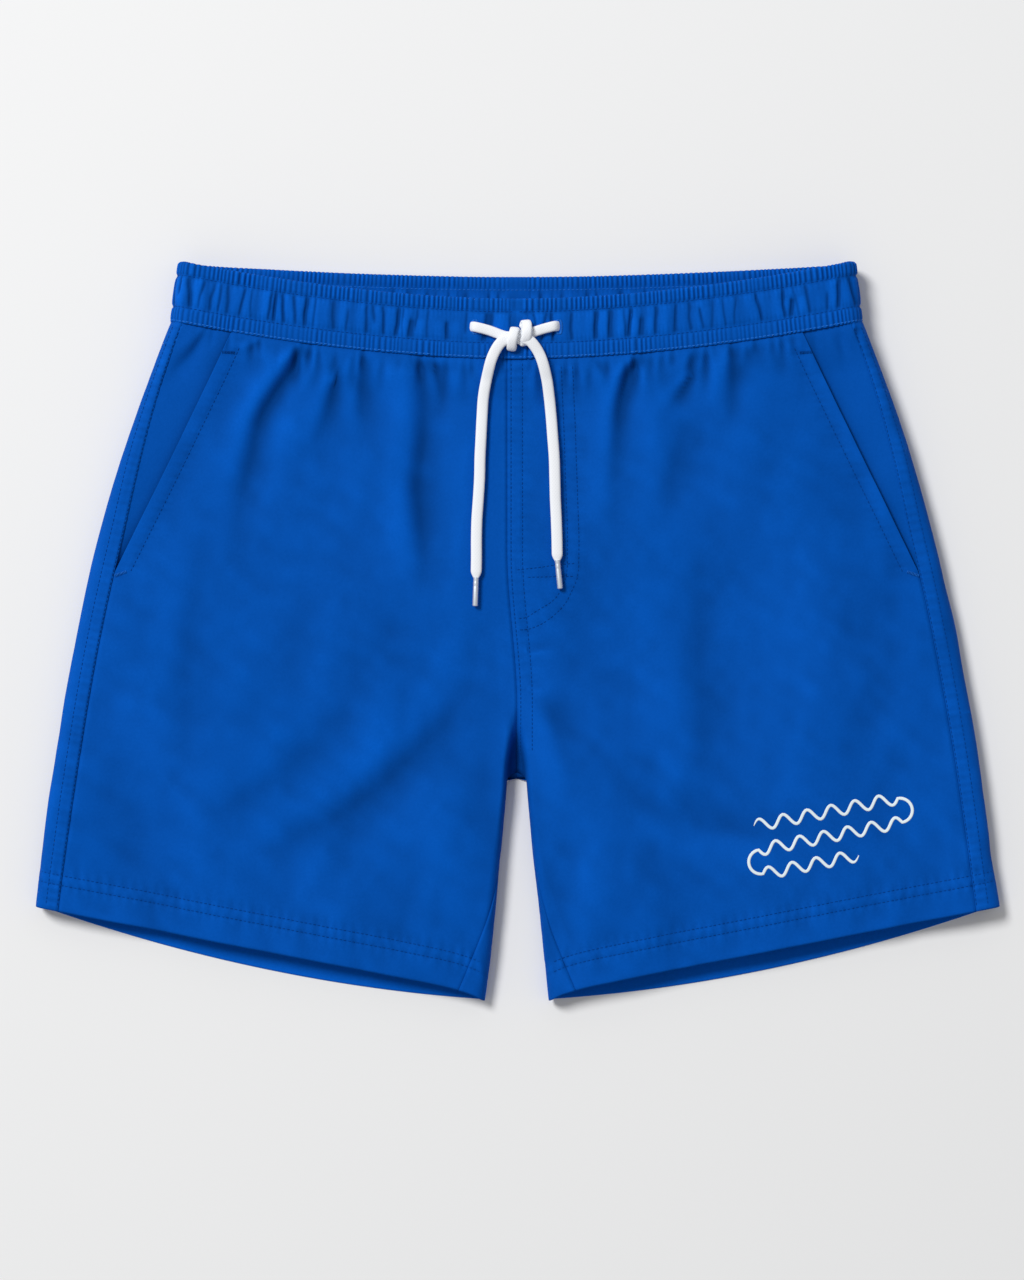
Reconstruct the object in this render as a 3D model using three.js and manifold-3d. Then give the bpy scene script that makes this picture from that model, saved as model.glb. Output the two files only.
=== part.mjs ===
// Woven drawcord shorts, lying flat and front side up on a table. Millimetres.
// +X is the wearer's left, +Y runs up the shorts to the waist, +Z is up off the table.
// The origin is on the table, under the middle of the shorts' outline.
import * as THREE from "three";
import { mergeVertices } from "three/addons/utils/BufferGeometryUtils.js";
import Module from "manifold-3d";

const wasm = await Module();
wasm.setup();

// ---- Sizes ----------------------------------------------------------------

// Lengths, down the page.
const BAND_HEIGHT = 37; // waistband, top edge to waist seam
const SIDE_LENGTH = 360; // waist seam to hem at the side
const HEM_SLANT = 58.5; // how much lower the inner hem corner is than the outer one
const FRONT_DIP = 23.5; // how far the waist seam sags at centre front
const BACK_DIP = 8; // and at centre back
const FORK_DEPTH = 212; // waist seam to where the legs begin to part, on the front
const CROTCH_DEPTH = 259; // waist seam to the crotch point, down in the fork
const FRONT_HEM_LIFT = 4.5; // the front hem lies a little above a straight hem
const BACK_HEM_DROP = 10; // the back hem bows below it

// Half-widths, laid flat.
const BAND_TOP_HALF = 208;
const WAIST_HALF = 213;
const HEM_HALF = 297.5;
const FORK_GAP = 5.8; // centre line to leg at the crotch
const HEM_GAP = 19.6; // centre line to leg at the hem
const FLY_SHIFT = -6; // the front seam lies off centre, beside the fly

// Heights that the flattened tube keeps, and the roll of its edges.
const BAND_LOFT = 24;
const WAIST_LOFT = 20;
const HEM_LOFT = 14;
const SIDE_ROLL = 8;
const BAND_ROLL = 10;
const CROTCH_ROLL = 4;
const LEG_ROLL = 6;

// Where the seams lie on the flattened tube.
const SIDE_STRIP_TOP = 8.5; // the back panel wraps this far on to the front
const SIDE_STRIP_HEM = 15;
const INSEAM_START = 4; // along the inner roll from the table, at the crotch
const INSEAM_RUN = 27; // further round at the hem

// Cloth.
const SHELL = 0.8; // woven shell
const LINING = 0.6; // pocketing, facings and the casing's two walls
const SEAM_GAP = 0.3;

// Waistband: a casing folded over its top edge, an elastic and a cord channel.
const ELASTIC_THICK = 1.2;
const ELASTIC_TOP = 2; // below the casing's fold
const ELASTIC_FOOT = 1; // above the waist seam
const ELASTIC_HEIGHT = BAND_HEIGHT - ELASTIC_TOP - ELASTIC_FOOT;
const CHANNEL_CORD_THICK = 1.8;
const FOLD_RADIUS = 1.4;
const CORD_DOWN = 18.2; // top edge of the band to the middle of the cord channel

// Slant pockets.
const POCKET_TOP_X = 175; // centre line to the mouth's upper end
const POCKET_MOUTH_V = 0.423; // share of the side length at the mouth's lower end
const POCKET_BAG_V = 0.62; // and at the foot of the bag
const POCKET_BAG_WIDTH = 92;
const POCKET_SPACE = 7;
const POCKET_LAP = 12; // how far the facing runs in behind the mouth's edge
const FACING_SLOPE = 0.35;
const FACING_SILL = 0.8; // and how far its other edge runs in under the side strip
const TACK_LENGTH = 8;
const TACK_WIDTH = 1.6;
const TACK_THICK = 0.6;
const TACK_TOP_V = 0.035;

// Fly facing, behind the curved stitching.
const FLY_WIDTH = 38;
const FLY_LENGTH = 166;
const FLY_CURVE = 52; // how far up the curve at its foot begins

// Drawcord, knot and tips.
const CORD_WIDTH = 6.6;
const CORD_THICK = 3.2;
const EXIT_X = 26; // centre line to each buttonhole
const SLOT_WIDTH = 8;
const SLOT_HEIGHT = 8;
const RIM = 1.2;
const RIM_THICK = 0.5;
const KNOT_HALF = 5.6; // half the width of each turn of the knot
const KNOT_DROP = 5.5; // buttonholes down to the middle of the knot
const HINGE_X = 9.6; // centre line to where a free end leaves the knot
const HINGE_DROP = 12;
const CORD_REST = 1.2; // clear height under the free ends
const TAIL_SPREAD = 12;
const TAIL_SPREAD_RUN = 17;
const TAIL_DRIFT = 0.022;
const TAIL_LENGTH = { left: 137, right: 147.4 }; // down the page, to the top of the tip
const TIP_LENGTH = 17.7;
const TIP_RADIUS = 1.7;
const TIP_WALL = 0.35;
const TIP_GRIP = 6; // cord held inside the tip
const TIP_CORE = 1.05;

// Printed motif on the wearer's left leg: one line that waves across, turns and comes back.
const PRINT_X = 193;
const PRINT_V = 0.83;
const PRINT_TURN = 0.19;
const PRINT_STROKE = 2.4;
const PRINT_FILM = 0.3;
const WAVE_PITCH = 15;
const WAVE_HEIGHT = 3.6;
const LINE_SPACE = 15;
const WAVES = [6, 6, 4]; // whole waves in each line, top line first

// How finely the panels are drawn.
const ROW_STEP = 0.05;
const ROLL_COLS = 6; // round the side
const INNER_COLS = 5; // round the leg's inner edge
const NEAR_CENTRE = 9; // which these columns cover beside the centre seams, above the legs

// ---- The shape of the flattened shorts --------------------------------------

const { lerp, clamp, smoothstep } = THREE.MathUtils;

const FULL_LENGTH = BAND_HEIGHT + SIDE_LENGTH + HEM_SLANT;
const WAIST_Y = FULL_LENGTH / 2 - BAND_HEIGHT; // waist seam at the side
const HEM_INNER_Y = -FULL_LENGTH / 2;
const CENTRE_RUN = WAIST_Y - FRONT_DIP - HEM_INNER_Y;
const FORK_V = FORK_DEPTH / CENTRE_RUN;
const CROTCH_V = CROTCH_DEPTH / CENTRE_RUN;
const WAIST_CURVE = 1.8; // power of the sag in the waist seam
const HIP_FULLNESS = 0.42; // share of the widening that happens early
const CHANNEL = ELASTIC_THICK + CHANNEL_CORD_THICK + 3 * SEAM_GAP;
const BAND_WALL = CHANNEL + 2 * LINING;

// v runs from the waist seam, 0, to the hem, 1.
const loft = (v) => lerp(WAIST_LOFT, HEM_LOFT, v);

function outerHalf(v) {
  const early = 1 - (1 - v) ** 3;
  return lerp(WAIST_HALF, HEM_HALF, lerp(v, early, HIP_FULLNESS));
}

// Centre line to the leg's inner edge: nothing above the fork.
function innerGap(v) {
  if (v <= FORK_V) return 0;
  if (v <= CROTCH_V) return FORK_GAP * ((v - FORK_V) / (CROTCH_V - FORK_V)) ** 0.7;
  return lerp(FORK_GAP, HEM_GAP, ((v - CROTCH_V) / (1 - CROTCH_V)) ** 1.15);
}

const sideSeamX = (v) =>
  outerHalf(v) - lerp(SIDE_STRIP_TOP, SIDE_STRIP_HEM, smoothstep(v, 0, 0.4));

const flySeamX = (v) => FLY_SHIFT * (1 - smoothstep(v, 0.3, FORK_V));

const waistSag = (q, dip) => WAIST_Y - dip * (1 - q ** WAIST_CURVE);

// Puts a point of the section at level v where it belongs down the page. faceZ is the height of
// the cloth's outer face there, so that a layer's two faces keep together.
function place(x, z, v, faceZ = z) {
  const gap = innerGap(v);
  const q = clamp((x - gap) / (outerHalf(v) - gap), 0, 1);
  const hem = HEM_INNER_Y + HEM_SLANT * q;
  const lift = FRONT_HEM_LIFT * (1 - Math.exp(-q / 0.04)) * (1 - q);
  const drop = BACK_HEM_DROP * 4 * q * (1 - q);
  const front = lerp(waistSag(q, FRONT_DIP) - SEAM_GAP, hem + lift, v);
  const back = lerp(waistSag(q, BACK_DIP) - SEAM_GAP, hem - drop, v);
  return new THREE.Vector3(x, lerp(back, front, clamp(faceZ / loft(v), 0, 1)), z);
}

// The section of one half, from its inner edge over the top, round the side and back underneath.
// bend is the length at which the inner edge's roll is over, and turn is how much is left at the
// end when the back comes to it.
function section(v, centreX) {
  const high = loft(v);
  const out = outerHalf(v);
  const gap = innerGap(v);
  const path = new THREE.Path();
  if (v > CROTCH_V) {
    const roll = lerp(CROTCH_ROLL, LEG_ROLL, smoothstep(v, CROTCH_V, 0.85));
    path.absellipse(gap + roll, high / 2, roll, high / 2, -Math.PI / 2, Math.PI / 2, true);
    path.bend = path.getLength();
    path.lineTo(out - SIDE_ROLL, high);
    path.foot = gap + roll;
    path.turn = 0;
  } else {
    const drop = (high - 2 * SHELL - SEAM_GAP) * smoothstep(v, FORK_V, CROTCH_V);
    const forked = v > FORK_V;
    path.moveTo(forked ? SEAM_GAP / 2 : centreX, high - drop);
    if (forked) path.bezierCurveTo(gap, high - drop, gap, high, gap + CROTCH_ROLL, high);
    path.bend = forked ? path.getLength() : NEAR_CENTRE;
    path.lineTo(out - SIDE_ROLL, high);
    path.foot = SEAM_GAP / 2;
    path.turn = NEAR_CENTRE;
  }
  path.rollStart = path.getLength();
  path.topStart = path.rollStart - (out - SIDE_ROLL);
  path.absellipse(out - SIDE_ROLL, high / 2, SIDE_ROLL, high / 2, Math.PI / 2, -Math.PI / 2, true);
  path.rollEnd = path.getLength();
  path.lineTo(path.foot, 0);
  return path;
}

// The length along a section at which its top passes x.
const alongTop = (path, x) => path.topStart + x;

// The length round a leg's inner roll at which the inseam lies.
const inseam = (v) =>
  v > CROTCH_V ? INSEAM_START + INSEAM_RUN * ((v - CROTCH_V) / (1 - CROTCH_V)) ** 1.3 : 0;

// The point that far along a section, and that deep below its outer face.
function pointAlong(path, length, v, depth) {
  const whole = path.getLength();
  const share = clamp((length > whole ? length - whole : length) / whole, 1e-5, 1 - 1e-5);
  const p = path.getPoint(share);
  const t = path.getTangent(share);
  return place(p.x + t.y * depth, p.y - t.x * depth, v, p.y);
}

// Levels that meet the fork and the crotch exactly.
function levels(from, to, step) {
  const stops = [from, FORK_V, CROTCH_V, CROTCH_V + 0.012, to].filter((v) => v >= from && v <= to);
  const rows = [];
  stops.slice(1).forEach((stop, k) => {
    const n = Math.max(1, Math.round((stop - stops[k]) / step));
    for (let i = 0; i < n; i++) rows.push(lerp(stops[k], stop, i / n));
  });
  return [...rows, to];
}

// ---- Solids -------------------------------------------------------------------

function fromPoints(points, index) {
  return new THREE.BufferGeometry()
    .setAttribute("position", new THREE.Float32BufferAttribute(points.flatMap((p) => [p.x, p.y, p.z]), 3))
    .setIndex(index);
}

// Joins rings of points, each a closed loop of the same even count, into a solid.
// Open ends are capped by a strip that pairs each point with the one across from it.
// leaning picks the other diagonal of each patch, for cloth that winds round a roll.
function loftRings(rings, joined = false, leaning = false) {
  const n = rings[0].length;
  const index = [];
  const quad = (a, b, c, d) => {
    if (leaning) index.push(a, b, d, b, c, d);
    else index.push(a, b, c, a, c, d);
  };
  const last = rings.length - (joined ? 0 : 1);
  for (let j = 0; j < last; j++) {
    const here = j * n;
    const next = ((j + 1) % rings.length) * n;
    for (let i = 0; i < n; i++) {
      const k = (i + 1) % n;
      quad(here + i, next + i, next + k, here + k);
    }
  }
  if (!joined) {
    const end = (rings.length - 1) * n;
    for (let i = 0; i < n / 2 - 1; i++) {
      quad(i, i + 1, n - 2 - i, n - 1 - i);
      quad(end + n - 1 - i, end + n - 2 - i, end + i + 1, end + i);
    }
  }
  return fromPoints(rings.flat(), index);
}

// A layer of cloth. row(v) gives the places across it at that level, and how to find the point
// at a place and a depth below the outer face.
function layer(vs, row, thick, leaning = false) {
  return loftRings(
    vs.map((v) => {
      const [places, at] = row(v);
      const face = places.map((u) => at(u, 0));
      return [...face, ...places.map((u) => at(u, thick)).reverse()];
    }),
    false,
    leaning,
  );
}

// Numbers from each mark to the next, in as many even steps as counts gives.
const spread = (marks, counts) => [
  marks[0],
  ...counts.flatMap((n, k) => Array.from({ length: n }, (_, i) => lerp(marks[k], marks[k + 1], (i + 1) / n))),
];

function mirrored(shape) {
  const flipped = shape.clone().scale(-1, 1, 1);
  const index = flipped.index.array;
  for (let i = 0; i < index.length; i += 3) [index[i], index[i + 1]] = [index[i + 1], index[i]];
  return flipped;
}

function toSolid(shape) {
  const bare = shape.clone();
  bare.deleteAttribute("normal");
  bare.deleteAttribute("uv");
  const merged = mergeVertices(bare, 1e-4);
  return new wasm.Manifold(
    new wasm.Mesh({
      numProp: 3,
      vertProperties: merged.attributes.position.array,
      triVerts: new Uint32Array(merged.index.array),
    }),
  );
}

function fromSolid(solid) {
  const mesh = solid.getMesh();
  return new THREE.BufferGeometry()
    .setAttribute("position", new THREE.BufferAttribute(mesh.vertProperties, 3))
    .setIndex(new THREE.BufferAttribute(mesh.triVerts, 1));
}

// ---- Materials ------------------------------------------------------------------

const cloth = (color, roughness) => new THREE.MeshStandardMaterial({ color, roughness, metalness: 0 });
const shellCloth = cloth(0x0354b4, 0.72);
const pocketCloth = cloth(0x0a4da0, 0.8);
const elasticKnit = cloth(0xe8e8e4, 0.9);
const thread = cloth(0x0a58b8, 0.6);
const cordCotton = cloth(0xf4f4f6, 0.85);
const printFilm = cloth(0xf2f6f4, 0.5);
const tipMetal = new THREE.MeshStandardMaterial({ color: 0xb4b8bd, roughness: 0.3, metalness: 1 });

const shorts = new THREE.Group();

function add(name, shape, material, group = shorts) {
  const mesh = new THREE.Mesh(shape, material);
  mesh.name = name;
  group.add(mesh);
  return mesh;
}

// ---- Panels ---------------------------------------------------------------------

const pocketMouthX = (v) => lerp(POCKET_TOP_X, sideSeamX(POCKET_MOUTH_V), v / POCKET_MOUTH_V);

// hand is 1 for the wearer's left, whose panel carries the fly, and -1 for the right.
function frontPanel(hand) {
  const row = (v) => {
    const path = section(v, hand * flySeamX(v) + SEAM_GAP / 2);
    const edge = v < POCKET_MOUTH_V ? pocketMouthX(v) : sideSeamX(v);
    const from = v > CROTCH_V ? inseam(v) + SEAM_GAP / 2 : 0;
    const to = alongTop(path, edge) - SEAM_GAP / 2;
    const bend = Math.max(path.bend, from + NEAR_CENTRE);
    return [spread([from, bend, to], [INNER_COLS, 9]), (at, depth) => pointAlong(path, at, v, depth)];
  };
  return layer(levels(0, 1, ROW_STEP), row, SHELL);
}

function backPanel() {
  const row = (v) => {
    const path = section(v, SEAM_GAP / 2);
    const whole = path.getLength();
    const from = alongTop(path, sideSeamX(v)) + SEAM_GAP / 2;
    const to = v > CROTCH_V ? whole + inseam(v) - SEAM_GAP / 2 : whole;
    const marks = [from, path.rollStart, path.rollEnd, whole - path.turn, to];
    return [spread(marks, [2, ROLL_COLS, 8, INNER_COLS]), (at, depth) => pointAlong(path, at, v, depth)];
  };
  return layer(levels(0, 1, ROW_STEP), row, SHELL, true);
}

// ---- Pockets --------------------------------------------------------------------

const frontTop = (v) => loft(v) - SHELL - SEAM_GAP; // just under the front panel
const POCKET_DEPTH = POCKET_SPACE + 2 * LINING;
const FACING_FOOT = POCKET_MOUTH_V + 0.02;
const BELOW_FACING = FACING_FOOT + 0.01;

const mouthX = (v) => Math.min(pocketMouthX(v), sideSeamX(v) - 1);

// Self-cloth behind the mouth: from under the side strip, sloping down to the bag.
function pocketFacing() {
  const row = (v) => {
    const far = sideSeamX(v) + FACING_SILL;
    const near = mouthX(v) - POCKET_LAP;
    const at = (x, depth) => {
      const fall = Math.max(0, far - FACING_SILL - x) * FACING_SLOPE;
      return place(x, Math.max(frontTop(v) - POCKET_DEPTH + LINING, frontTop(v) - fall) - depth, v);
    };
    return [spread([far, near], [6]), at];
  };
  return layer(levels(0.006, FACING_FOOT, 0.06).reverse(), row, LINING);
}

// The bag: back from the facing to a fold, then over it to the mouth, just under the front panel.
function pocketBag() {
  const row = (v) => {
    const foot = smoothstep(v, POCKET_MOUTH_V, POCKET_BAG_V);
    const depth = lerp(POCKET_DEPTH, 2 * LINING + SEAM_GAP, foot);
    const mouth = mouthX(v) - 1;
    const end = v < BELOW_FACING ? mouthX(v) - POCKET_LAP - SEAM_GAP : mouth;
    const fold = lerp(POCKET_TOP_X - POCKET_BAG_WIDTH, sideSeamX(v) - POCKET_BAG_WIDTH, v);
    const path = new THREE.Path();
    path.moveTo(end, frontTop(v) - depth);
    path.lineTo(fold, frontTop(v) - depth);
    path.absellipse(fold, frontTop(v) - depth / 2, depth / 2, depth / 2, -Math.PI / 2, Math.PI / 2, true);
    path.lineTo(mouth, frontTop(v));
    const whole = path.getLength();
    const marks = [0, end - fold, whole - (mouth - fold), whole];
    return [spread(marks, [4, 4, 4]), (at, depth) => pointAlong(path, at, v, depth)];
  };
  const rows = [
    ...levels(0.006, FACING_FOOT, 0.06),
    BELOW_FACING - 0.005,
    ...levels(BELOW_FACING, POCKET_BAG_V, 0.06),
  ];
  return layer(rows, row, LINING);
}

// ---- Fly facing -----------------------------------------------------------------

// Hangs behind the front panel from the waist, straight down one side and curved in at its foot.
function flyFacing() {
  const length = FLY_LENGTH / CENTRE_RUN;
  const row = (v) => {
    const low = clamp((v - (length - FLY_CURVE / CENTRE_RUN)) / (FLY_CURVE / CENTRE_RUN), 0, 1);
    const near = flySeamX(v) + 1;
    const far = near + lerp(3, FLY_WIDTH, Math.sqrt(1 - low ** 2));
    return [spread([far, near], [2]), (x, depth) => place(x, frontTop(v) - depth, v)];
  };
  const end = length - FLY_CURVE / CENTRE_RUN;
  const curve = Array.from({ length: 9 }, (_, i) => end + (FLY_CURVE / CENTRE_RUN) * Math.sin((i / 8) * Math.PI / 2));
  return layer([0.006, end / 2, ...curve].reverse(), row, LINING);
}

// ---- Laying small things on the front ---------------------------------------------

function levelAt(x, y) {
  let [low, high] = [0, 1];
  for (let i = 0; i < 40; i++) {
    const v = (low + high) / 2;
    if (place(Math.abs(x), loft(v), v).y > y) low = v;
    else high = v;
  }
  return low;
}

// Lowers or lifts each point of a flat shape on to the front of the shorts.
function drape(shape, clear) {
  const at = shape.attributes.position;
  for (let i = 0; i < at.count; i++) {
    at.setZ(i, at.getZ(i) + loft(levelAt(at.getX(i), at.getY(i))) + clear);
  }
  return shape;
}

function barTack(v, turn) {
  const edge = place(pocketMouthX(v), loft(v), v);
  const bar = new THREE.BoxGeometry(TACK_LENGTH, TACK_WIDTH, TACK_THICK);
  bar.translate(-TACK_LENGTH / 2, 0, TACK_THICK / 2).rotateZ(turn).translate(edge.x, edge.y, 0);
  return drape(bar, SEAM_GAP);
}

for (const [side, hand] of [["left", 1], ["right", -1]]) {
  const turned = (shape) => (hand > 0 ? shape : mirrored(shape));
  add(`front_panel_${side}`, turned(frontPanel(hand)), shellCloth);
  add(`back_panel_${side}`, turned(backPanel()), shellCloth);
  add(`pocket_facing_${side}`, turned(pocketFacing()), shellCloth);
  add(`pocket_bag_${side}`, turned(pocketBag()), pocketCloth);
  add(`pocket_tack_upper_${side}`, turned(barTack(TACK_TOP_V, -0.3)), thread);
  add(`pocket_tack_lower_${side}`, turned(barTack(POCKET_MOUTH_V, -0.35)), thread);
}
add("fly_facing", flyFacing(), shellCloth);

// ---- Waistband --------------------------------------------------------------------

// A point round the band, from the wearer's left end of the front, over the top and back beneath:
// that deep below the outer face and that high above the waist seam.
const bandLoop = new THREE.Path();
{
  const reach = WAIST_HALF - BAND_ROLL;
  bandLoop.moveTo(0, BAND_LOFT);
  bandLoop.lineTo(reach, BAND_LOFT);
  bandLoop.absellipse(reach, BAND_LOFT / 2, BAND_ROLL, BAND_LOFT / 2, Math.PI / 2, -Math.PI / 2, true);
  bandLoop.lineTo(-reach, 0);
  bandLoop.absellipse(-reach, BAND_LOFT / 2, BAND_ROLL, BAND_LOFT / 2, -Math.PI / 2, -1.5 * Math.PI, true);
  bandLoop.lineTo(0, BAND_LOFT);
}

function bandPoint(share, depth, height) {
  const p = bandLoop.getPoint(share);
  const t = bandLoop.getTangent(share);
  const x = p.x + t.y * depth;
  const z = p.y - t.x * depth;
  const narrow = lerp(1, BAND_TOP_HALF / WAIST_HALF, height / BAND_HEIGHT);
  const q = Math.min(1, Math.abs(p.x) / WAIST_HALF);
  const seam = lerp(waistSag(q, BACK_DIP), waistSag(q, FRONT_DIP), p.y / BAND_LOFT);
  return new THREE.Vector3(x * narrow, seam + height, z);
}

// Shares of the way round that crowd into the side rolls.
const bandWhole = bandLoop.getLength();
const flat = (WAIST_HALF - BAND_ROLL) / bandWhole;
const roll = 0.5 / 2 - flat;
const bandStops = [];
for (let i = 0; i < 8; i++) bandStops.push((flat * i) / 8);
for (let i = 0; i < 6; i++) bandStops.push(flat + (2 * roll * i) / 6);
for (let i = 0; i < 16; i++) bandStops.push(flat + 2 * roll + (2 * flat * i) / 16);
for (let i = 0; i < 6; i++) bandStops.push(3 * flat + 2 * roll + (2 * roll * i) / 6);
for (let i = 0; i < 8; i++) bandStops.push(3 * flat + 4 * roll + (flat * i) / 8);

// A closed ring round the band, of a section drawn as depth and height.
const bandRing = (outline) =>
  loftRings(bandStops.map((s) => outline.map(([d, h]) => bandPoint(s, d, h))), true);

// The casing: one strip of cloth folded over its top edge, open below.
const foldStart = BAND_HEIGHT - FOLD_RADIUS;
const casing = bandRing([
  [0, 0],
  [0, foldStart],
  [FOLD_RADIUS, BAND_HEIGHT],
  [BAND_WALL - FOLD_RADIUS, BAND_HEIGHT],
  [BAND_WALL, foldStart],
  [BAND_WALL, 0],
  [BAND_WALL - LINING, 0],
  [BAND_WALL - LINING, foldStart],
  [LINING, foldStart],
  [LINING, 0],
]);

const corded = LINING + SEAM_GAP; // depth at which the cord channel starts
const elasticFace = corded + CHANNEL_CORD_THICK + SEAM_GAP;
const elasticHead = ELASTIC_FOOT + ELASTIC_HEIGHT;
const elastic = bandRing([
  [elasticFace, ELASTIC_FOOT],
  [elasticFace, elasticHead],
  [elasticFace + ELASTIC_THICK, elasticHead],
  [elasticFace + ELASTIC_THICK, ELASTIC_FOOT],
]);

const cordLevel = BAND_HEIGHT - CORD_DOWN;
const exitShare = EXIT_X / bandWhole;
const exitAt = bandPoint(exitShare, 0, cordLevel);

const slotBlock = new THREE.BoxGeometry(SLOT_WIDTH, SLOT_HEIGHT, 2 * LINING + SEAM_GAP);
const slots = [1, -1].map((hand) =>
  toSolid(slotBlock.clone().translate(hand * exitAt.x, exitAt.y, BAND_LOFT - LINING / 2)),
);
const slotted = slots.reduce((solid, slot) => solid.subtract(slot), toSolid(casing));
add("waistband_casing", fromSolid(slotted), shellCloth);
add("waistband_elastic", elastic, elasticKnit);

function buttonhole(hand) {
  const outline = (w, h) => [[-w, -h], [w, -h], [w, h], [-w, h]].map(([x, y]) => new THREE.Vector2(x / 2, y / 2));
  const shape = new THREE.Shape(outline(SLOT_WIDTH + 2 * RIM, SLOT_HEIGHT + 2 * RIM));
  shape.holes.push(new THREE.Path(outline(SLOT_WIDTH, SLOT_HEIGHT).reverse()));
  return new THREE.ExtrudeGeometry(shape, { depth: RIM_THICK, bevelEnabled: false }).translate(
    hand * exitAt.x,
    exitAt.y,
    BAND_LOFT + SEAM_GAP,
  );
}
add("buttonhole_left", buttonhole(1), thread);
add("buttonhole_right", buttonhole(-1), thread);

// ---- Drawcord ---------------------------------------------------------------------

// A flat, soft-edged cord along a curve. size(u) gives its width and thickness on the way.
function strap(curve, steps, size) {
  const up = new THREE.Vector3(0, 0, 1);
  const rings = [];
  for (let j = 0; j <= steps; j++) {
    const u = j / steps;
    const centre = curve.getPointAt(u);
    const side = curve.getTangentAt(u).cross(up).normalize();
    const face = side.clone().cross(curve.getTangentAt(u));
    const [wide, thick] = size(u);
    rings.push(
      Array.from({ length: 8 }, (_, i) => {
        const a = ((i + 0.5) / 8) * 2 * Math.PI;
        const across = side.clone().multiplyScalar((Math.cos(a) * wide) / 2);
        return centre.clone().add(across).addScaledVector(face, (Math.sin(a) * thick) / 2);
      }),
    );
  }
  return loftRings(rings);
}

const stubZ = BAND_LOFT + SEAM_GAP + RIM_THICK + SEAM_GAP + CHANNEL_CORD_THICK / 2;
const channelZ = BAND_LOFT - corded - CHANNEL_CORD_THICK / 2;

// The stretch in the casing: out from one buttonhole, round the back and in to the other.
const channelStart = exitShare + (SLOT_WIDTH / 2 + 5) / bandWhole;
const channelStops = bandStops.filter((s) => s > channelStart && s < 1 - channelStart);
const channelHalf = CORD_WIDTH / 2;
const channelRings = [channelStart, ...channelStops, 1 - channelStart].map((s) =>
  [[0, -0.7], [0, 0.7], [0.3, 1], [0.7, 1], [1, 0.7], [1, -0.7], [0.7, -1], [0.3, -1]].map(([d, h]) =>
    bandPoint(s, corded + d * CHANNEL_CORD_THICK, cordLevel + h * channelHalf),
  ),
);
add("drawcord_channel_run", loftRings(channelRings), cordCotton);

// The knot and the two short ends that reach it out of the buttonholes, as one body.
const knotCentre = new THREE.Vector3(0, exitAt.y - KNOT_DROP, stubZ + 1.6);
function stub(hand) {
  const points = [
    [EXIT_X + SLOT_WIDTH / 2 + 3.6, exitAt.y, channelZ],
    [EXIT_X + SLOT_WIDTH / 2 - 0.4, exitAt.y, channelZ],
    [EXIT_X - SLOT_WIDTH / 2 + 0.4, exitAt.y, stubZ],
    [EXIT_X - SLOT_WIDTH / 2 - 3.6, exitAt.y - 0.4, stubZ],
    [10, exitAt.y - 2.4, stubZ + 0.6],
    [-2, knotCentre.y, knotCentre.z],
  ].map(([x, y, z]) => new THREE.Vector3(hand * x, y, z));
  const curve = new THREE.CatmullRomCurve3(points, false, "centripetal");
  return strap(curve, 14, () => [CORD_WIDTH, CHANNEL_CORD_THICK]);
}

function turnOfKnot(x, tilt, high) {
  const ball = new THREE.SphereGeometry(1, 12, 8).scale(KNOT_HALF * 0.8, CORD_WIDTH, high);
  return ball.rotateZ(tilt).translate(x, knotCentre.y, stubZ + 1.7);
}
const knot = [stub(-1), turnOfKnot(2, -0.25, 3.4), turnOfKnot(-2, 0.35, 3)].reduce(
  (solid, piece) => solid.add(toSolid(piece)),
  toSolid(stub(1)),
);
add("drawcord_knot", fromSolid(knot), cordCotton);

// The free ends hinge where they leave the knot, and lie down the front.
const tailTop = exitAt.y - HINGE_DROP;
function tailCurve(length) {
  const points = [];
  for (let i = 0; i <= 12; i++) {
    const down = length * (i / 12) ** 1.35;
    const x = HINGE_X + TAIL_SPREAD * (1 - Math.exp(-down / TAIL_SPREAD_RUN)) + TAIL_DRIFT * down;
    const y = tailTop - down;
    const onBand = BAND_LOFT + CORD_REST + CORD_THICK / 2;
    const v = clamp(levelAt(x, y), 0, 1);
    const onPanel = loft(v) + CORD_REST + CORD_THICK / 2;
    points.push(new THREE.Vector3(x, y, lerp(onBand, onPanel, smoothstep(down, 16, 36))));
  }
  return new THREE.CatmullRomCurve3(points, false, "centripetal");
}

function tailSize(u, whole) {
  const fromTop = u * whole;
  const toEnd = (1 - u) * whole - TIP_GRIP + SEAM_GAP;
  const start = fromTop < CORD_WIDTH / 2 ? Math.sqrt(1 - (1 - fromTop / (CORD_WIDTH / 2)) ** 2) : 1;
  const end = smoothstep(toEnd, 0, 5);
  return [
    Math.max(0.25 * CORD_WIDTH, lerp(2 * TIP_CORE, CORD_WIDTH, end) * start),
    lerp(2 * TIP_CORE, CORD_THICK, end),
  ];
}

function tipShape() {
  const r = TIP_RADIUS;
  const bore = r - TIP_WALL;
  const profile = [
    [0, 0],
    [r - 0.5, 0],
    [r, 0.6],
    [r, TIP_LENGTH],
    [bore, TIP_LENGTH],
    [bore, TIP_LENGTH - TIP_GRIP - SEAM_GAP],
    [0, TIP_LENGTH - TIP_GRIP - SEAM_GAP],
  ];
  return new THREE.LatheGeometry(profile.map(([x, y]) => new THREE.Vector2(x, y)), 16);
}

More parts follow.
